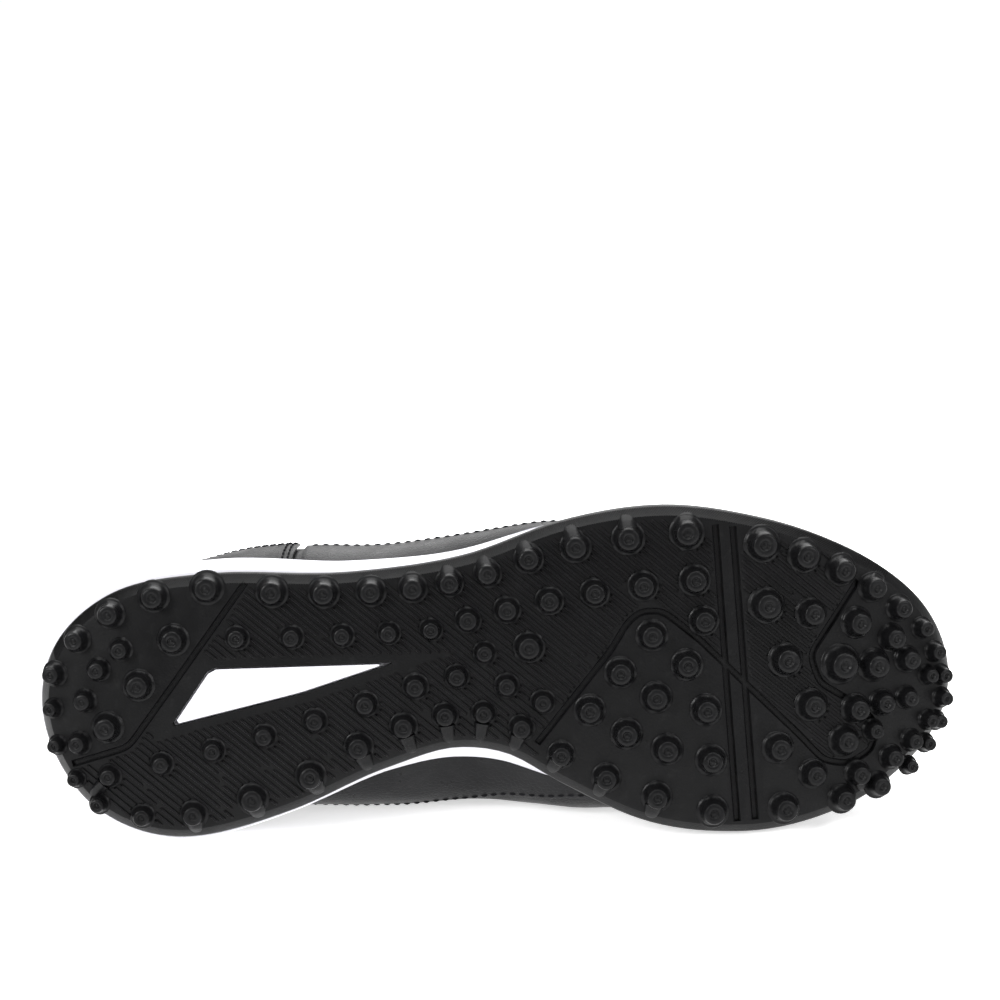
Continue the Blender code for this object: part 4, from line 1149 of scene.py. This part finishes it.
def add_stitches(bm, points, normals, radius=STITCH_RADIUS, length=STITCH_LENGTH, pitch=STITCH_PITCH):
    """A row of stitches along a line of points on a surface."""
    points = np.asarray(points)
    normals = np.asarray(normals)
    run = np.concatenate([[0], np.cumsum(np.linalg.norm(np.diff(points, axis=0), axis=1))])
    for at in np.arange(pitch / 2, run[-1] - length, pitch):
        rows = []
        for share, fat in ((0.0, 0.35), (0.18, 0.95), (0.5, 1.15), (0.82, 0.95), (1.0, 0.35)):
            there = at + length * share
            place = np.array([np.interp(there, run, points[:, axis]) for axis in range(3)])
            ahead = np.array([np.interp(there + 0.0004, run, points[:, axis]) for axis in range(3)])
            normal = unit(np.array([np.interp(there, run, normals[:, axis]) for axis in range(3)]))
            line = unit(ahead - place + 1e-9)
            side = unit(np.cross(line, normal))
            lift = radius * (0.9 * math.sin(share * math.pi) - 0.25)
            centre = place + normal * lift
            rows.append([
                bm.verts.new(centre + (side * math.cos(a) + normal * math.sin(a)) * radius * fat)
                for a in np.arange(6) * math.pi / 3
            ])
        for first, second in zip(rows, rows[1:]):
            for i in range(6):
                j = (i + 1) % 6
                bm.faces.new((first[i], first[j], second[j], second[i]))
        bm.faces.new(rows[0])
        bm.faces.new(rows[-1])


def seam_line(places, lift):
    """Points and normals above the upper for a list of stations and shares."""
    points = [over_upper(turn, t, lift) for turn, t in places]
    normals = [upper_normal(turn, t) for turn, t in places]
    return points, normals


def eyelet_rods():
    """Rods that punch the eyelets."""
    bm = bmesh.new()
    for share in eyelet_shares():
        for turn in both_sides(throat_turn(share)):
            t = edge_share(upper_handles(turn), EYELET_EDGE_DISTANCE)
            axis = Vector(upper_normal(turn, t))
            lean = axis.to_track_quat("Z", "Y").to_matrix().to_4x4()
            place = Matrix.Translation(over_upper(turn, t, 0)) @ lean
            bmesh.ops.create_cone(
                bm, cap_ends=True, segments=16, radius1=EYELET_RADIUS, radius2=EYELET_RADIUS,
                depth=4 * (WALL + OVERLAY_THICKNESS), matrix=place,
            )
    return plain_object("rods", bm)


def padding_weights(grid):
    """Wall thickness at each point as a share of the collar's padding."""
    plain = WALL / COLLAR_PADDING
    levels = np.linspace(0, 1, LEVELS + 1)
    behind = np.clip((PADDING_END - grid[:, -1, 0] / SHOE_LENGTH) / PADDING_FADE, 0, 1)
    rise = np.clip((levels - PADDING_LEVEL) / PADDING_FADE_LEVEL, 0, 1)
    behind = behind * behind * (3 - 2 * behind)
    rise = rise * rise * (3 - 2 * rise)
    return plain + (1 - plain) * behind[:, None] * rise[None, :]


def dress_upper():
    """Hollow leather upper with a lining, punched eyelets and a padded collar."""
    grid = dressed_grid()
    upper = plain_object("shell", sheet_of(grid, True))
    group = upper.vertex_groups.new(name="padding")
    for index, share in enumerate(padding_weights(grid).ravel()):
        group.add([index], float(share), "REPLACE")
    for material in (LEATHER, LINING):
        upper.data.materials.append(material)
    walled(upper, COLLAR_PADDING, -1, 1).vertex_group = "padding"
    rods = eyelet_rods()
    cut_with(upper, [rods])
    mesh = settled(upper, [rods])
    inner = [poly.material_index for poly in mesh.polygons]
    piece = add_piece("upper_shell", mesh, [LEATHER, LINING], ["upper"], 45)
    for poly, index in zip(piece.data.polygons, inner):
        poly.material_index = min(index, 1)
    return piece


def overlay(name, lines, material, nodes, thickness, rods=False):
    """Leather overlay with soft edges."""
    obj = plain_object(name + "_sheet", sheet_of(lines, False))
    walled(obj, thickness, 1)
    soften(obj, thickness * 0.35, 2, 50)
    tools = []
    if rods:
        tools = [eyelet_rods()]
        cut_with(obj, tools)
    return add_piece(name, settled(obj, tools), [material], nodes, 40)


def dress_overlays(stitches):
    """Heel counter, eyestay and lower quarter panels, with their rows of stitches."""
    end = turn_of("outer", COUNTER_END)
    angles = stations_between(-end, end)
    tops = [COUNTER_TOP_BACK + (COUNTER_TOP_FRONT - COUNTER_TOP_BACK) * (turn / end) ** 2 for turn in angles]
    lines = [
        [over_upper(turn, t, OVERLAY_GAP) for t in np.linspace(COUNTER_FOOT, top, 20)]
        for turn, top in zip(angles, tops)
    ]
    overlay("counter_leather", lines, LEATHER, ["heel_counter"], OVERLAY_THICKNESS)
    lift = OVERLAY_GAP + OVERLAY_THICKNESS
    for inset in (0.030, 0.060):
        add_stitches(stitches, *seam_line([(turn, top - inset) for turn, top in zip(angles, tops)], lift))
    for side in (-1, 1):
        for inset in (0.012, 0.026):
            levels = np.linspace(COUNTER_FOOT, COUNTER_TOP_FRONT - 0.05, 20)
            places = [(side * (end - inset), t) for t in levels]
            add_stitches(stitches, *seam_line(places, lift))
    start = throat_turn(0)
    lines = []
    rim_seam = []
    foot_seam = []
    for turn in stations_between(start, 2 * math.pi - start):
        handles = upper_handles(turn)
        low = edge_share(handles, EYESTAY_WIDTH)
        high = edge_share(handles, EYESTAY_SETBACK)
        lines.append([over_upper(turn, t, OVERLAY_GAP) for t in np.linspace(low, high, 10)])
        rim_seam.append((turn, edge_share(handles, EYESTAY_SETBACK + 0.0022)))
        foot_seam.append((turn, edge_share(handles, EYESTAY_WIDTH - 0.0020)))
    overlay("eyestay_leather", lines, SMOOTH_LEATHER, ["eyestay"], OVERLAY_THICKNESS, True)
    add_stitches(stitches, *seam_line(rim_seam, lift))
    add_stitches(stitches, *seam_line(foot_seam, lift))
    for side in (1, -1):
        low_turn = turn_of("outer", COUNTER_END) + 0.02
        high_turn = turn_of("outer", 0.63)
        places = np.linspace(low_turn, high_turn, 46)
        span = high_turn - low_turn
        tops = [0.03 + 0.39 * (1 - ((turn - low_turn) / span) ** 2.2) for turn in places]
        lines = []
        for turn, top in zip(places, tops):
            station = turn if side > 0 else 2 * math.pi - turn
            lines.append([over_upper(station, t, SEAM_LIFT) for t in np.linspace(0.0, top, 14)])
        if side < 0:
            lines = lines[::-1]
        name = "outer_quarter" if side > 0 else "inner_quarter"
        overlay(name, lines, SMOOTH_LEATHER, (), 0.0007)
        seam = [
            (turn if side > 0 else 2 * math.pi - turn, top - 0.022)
            for turn, top in zip(places[:-3], tops[:-3])
        ]
        add_stitches(stitches, *seam_line(seam, 0.0009), radius=0.00032, length=0.0024, pitch=0.0034)


def collar_and_toe_seams(stitches):
    """Stitch rows that lie straight on the upper: under the collar's roll and round the toe."""
    end = turn_of("outer", THROAT_TOP) - 0.05
    angles = np.linspace(-end, end, 160)
    add_stitches(stitches, *seam_line([(turn, 0.825) for turn in angles], -0.0002))
    angles = np.linspace(2.25, 2 * math.pi - 2.25, 200)
    for offset in (0.0, 0.03):
        bows = [0.22 * abs(math.sin((turn - math.pi) * 1.1)) ** 1.5 for turn in angles]
        places = [(turn, 0.40 + offset + bow) for turn, bow in zip(angles, bows)]
        add_stitches(stitches, *seam_line(places, 0.0001))


def dress_tongue(stitches):
    """Padded tongue with a sewn border."""
    shares = np.linspace(1, 0, 30)
    lines = [tongue_section(share) for share in shares]
    crown = lines[0][TONGUE_POINTS // 2]
    front = upper_handles(math.pi)
    first = lines[0]
    for ahead in np.linspace(TONGUE_FRONT / 3, TONGUE_FRONT, 3):
        under_vamp = over_upper(math.pi, edge_share(front, ahead), -(WALL + 2 * TONGUE_CLEARANCE))
        lines.insert(0, first + under_vamp - crown)
    top = lines[-1]
    middle = top.mean(axis=0)
    keys = np.array([(0.0, 1.0)] + list(TONGUE_TIP))
    rises = np.linspace(0.08, 1.0, 16)
    widths = smooth(keys[:, 0], keys[:, 1], rises)
    widths[0] = 0.90
    widths[1] = 0.80
    for rise, width in zip(rises, widths):
        shift = np.array([-TONGUE_SET_BACK * rise, 0, TONGUE_RISE * rise])
        lines.append(middle + (top - middle) * np.array([1, width, width]) + shift)
    grid = np.array(lines)
    obj = plain_object("tongue_sheet", sheet_of(grid, False))
    walled(obj, TONGUE_THICKNESS, 1)
    soften(obj, TONGUE_THICKNESS * 0.42, 4, 50)
    add_piece("tongue_pad", settled(obj), [LEATHER], ["tongue"], 50)
    border = [grid[k][3] for k in range(-16, 0)] + [grid[-2][k] for k in range(4, TONGUE_POINTS - 4)]
    border += [grid[-k][TONGUE_POINTS - 4] for k in range(1, 17)]
    middle = TONGUE_POINTS // 2
    outwards = unit(np.cross(grid[-8][-1] - grid[-8][0], grid[-2][middle] - grid[-12][middle]))
    outwards *= np.sign(outwards[0])
    add_stitches(stitches, border, [outwards] * len(border))


def lace_path(first, second, over):
    """Middle line and up directions of one strand, from inside one eyelet to inside another."""
    lift = 2 * FIT_GAP + OVERLAY_THICKNESS + LACE_THICKNESS * 0.8
    keys = []
    ups = []
    shares = np.linspace(first[0], second[0], 5)
    for place, share in enumerate(shares):
        if place == 2:
            section = tongue_section(share)
            rise = LACE_THICKNESS * (0.5 + over) + LACE_CLEARANCE
            keys.append(section[TONGUE_POINTS // 2] + np.array([0, 0, rise]))
            ups.append(np.array([LACE_LEAN, 0, 1]))
            continue
        turn = both_sides(throat_turn(share))[first[1] if place < 2 else second[1]]
        handles = upper_handles(turn)
        if place in (0, 4):
            t = edge_share(handles, EYELET_EDGE_DISTANCE)
            normal = upper_normal(turn, t)
            nearer = edge_share(handles, EYELET_EDGE_DISTANCE - 0.0012)
            steps = [
                over_upper(turn, t, -WALL * 1.5),
                over_upper(turn, t, lift * 0.2),
                over_upper(turn, nearer, lift),
            ]
            if place == 4:
                steps = steps[::-1]
            keys += steps
            ups += [normal] * 3
        else:
            keys.append(over_upper(turn, edge_share(handles, 0), lift))
            ups.append(upper_normal(turn, edge_share(handles, 0)))
    keys = np.array(keys)
    run = np.concatenate([[0], np.cumsum(np.linalg.norm(np.diff(keys, axis=0), axis=1))])
    at = np.linspace(0, run[-1], 40)
    path = np.column_stack([smooth(run, keys[:, axis], at) for axis in range(3)])
    up = np.column_stack([np.interp(at, run, np.array(ups)[:, axis]) for axis in range(3)])
    return path, up


def dress_laces():
    """Flat woven lace, through every eyelet, one bar and crossings."""
    bm = bmesh.new()
    shares = eyelet_shares()
    strands = [((shares[0], 0), (shares[0], 1), 0.0)]
    for low, high in zip(shares, shares[1:]):
        strands.append(((low, 0), (high, 1), 0.15))
        strands.append(((low, 1), (high, 0), 1.15))
    for first, second, over in strands:
        path, up = lace_path(first, second, over)
        ahead = np.gradient(path, axis=0)
        wide = np.cross(up, ahead)
        wide /= np.linalg.norm(wide, axis=1, keepdims=True)
        thick = np.cross(ahead, wide)
        thick /= np.linalg.norm(thick, axis=1, keepdims=True)
        squeeze = np.ones(len(path))
        squeeze[:4] = squeeze[-4:] = 0.55
        rows = []
        for k in range(len(path)):
            row = []
            for a in np.arange(12) * math.pi / 6:
                across = math.copysign(abs(math.cos(a)) ** 0.6, math.cos(a)) * LACE_WIDTH / 2 * squeeze[k]
                high = math.copysign(abs(math.sin(a)) ** 0.7, math.sin(a)) * LACE_THICKNESS / 2
                row.append(bm.verts.new(path[k] + wide[k] * across + thick[k] * high))
            rows.append(row)
        for one, two in zip(rows, rows[1:]):
            for i in range(12):
                j = (i + 1) % 12
                bm.faces.new((one[i], one[j], two[j], two[i]))
        bm.faces.new(rows[0])
        bm.faces.new(rows[-1])
    bmesh.ops.recalc_face_normals(bm, faces=bm.faces)
    return add_piece("lace_strands", bm, [LACE], ["laces"], 60)


def add_camera_and_light():
    """The photograph's view of the shoe, a pale floor and soft studio lights."""
    scale = SHOE_LENGTH / PHOTO_SHOE_LENGTH
    focal = CAMERA_DISTANCE / scale
    back = Vector((0, -math.sin(CAMERA_TILT), -math.cos(CAMERA_TILT)))
    up = Vector((0, -math.cos(CAMERA_TILT), math.sin(CAMERA_TILT)))
    drop = math.atan2(PHOTO_MIDDLE_DOWN - PHOTO_SIDE / 2, focal)
    forward = -back * math.cos(drop) + up * math.sin(drop)
    upright = up * math.cos(drop) + back * math.sin(drop)
    right = Vector((1, 0, 0))
    shift = right * (PHOTO_SIDE / 2 - PHOTO_MIDDLE_ACROSS) * scale
    place = Vector(CAMERA_AIM) + back * CAMERA_DISTANCE + shift
    pose = Matrix((
        (right.x, upright.x, -forward.x, place.x),
        (right.y, upright.y, -forward.y, place.y),
        (right.z, upright.z, -forward.z, place.z),
        (0, 0, 0, 1),
    ))
    data = bpy.data.cameras.new("camera")
    data.sensor_width = SENSOR_WIDTH
    data.lens = SENSOR_WIDTH * focal / PHOTO_SIDE
    data.clip_end = 100
    camera = bpy.data.objects.new("camera", data)
    camera.matrix_world = TO_FLOOR @ pose
    bpy.context.scene.collection.objects.link(camera)
    bpy.context.scene.camera = camera

    bm = bmesh.new()
    bmesh.ops.create_grid(bm, x_segments=2, y_segments=2, size=14)
    floor = plain_object("floor", bm)
    floor.location.z = -0.0002
    material, _, shader, _ = node_material("pale_floor", (0.92, 0.92, 0.92), 0.9)
    shader.inputs["Specular IOR Level"].default_value = 0.1
    shader.inputs["Emission Color"].default_value = (1, 1, 1, 1)
    shader.inputs["Emission Strength"].default_value = 0.6
    floor.data.materials.append(material)

    for name, where, size, energy in (
        ("top", (0.0, 0.15, 1.3), 1.3, 26), ("front_left", (-1.0, -1.1, 0.95), 0.5, 20),
        ("front_right", (1.1, -0.9, 0.9), 0.9, 12), ("behind", (0.1, 1.2, 0.8), 1.0, 10),
    ):
        data = bpy.data.lights.new(name, "AREA")
        data.size = size
        data.energy = energy
        light = bpy.data.objects.new(name, data)
        light.location = where
        light.rotation_euler = (Vector((0, 0, 0.04)) - Vector(where)).to_track_quat("-Z", "Y").to_euler()
        bpy.context.scene.collection.objects.link(light)
    world = bpy.data.worlds.new("studio")
    world.use_nodes = True
    world.node_tree.nodes["Background"].inputs["Color"].default_value = (1, 1, 1, 1)
    world.node_tree.nodes["Background"].inputs["Strength"].default_value = 0.4
    bpy.context.scene.world = world
    bpy.context.scene.view_settings.view_transform = "Standard"


add_camera_and_light()
dress_outsole()
dress_studs()
dress_ribs()
dress_midsole()
dress_insole()
dress_upper()
sewing = bmesh.new()
dress_overlays(sewing)
collar_and_toe_seams(sewing)
dress_tongue(sewing)
bmesh.ops.recalc_face_normals(sewing, faces=sewing.faces)
add_piece("stitches", sewing, [THREAD], (), 60)
dress_laces()
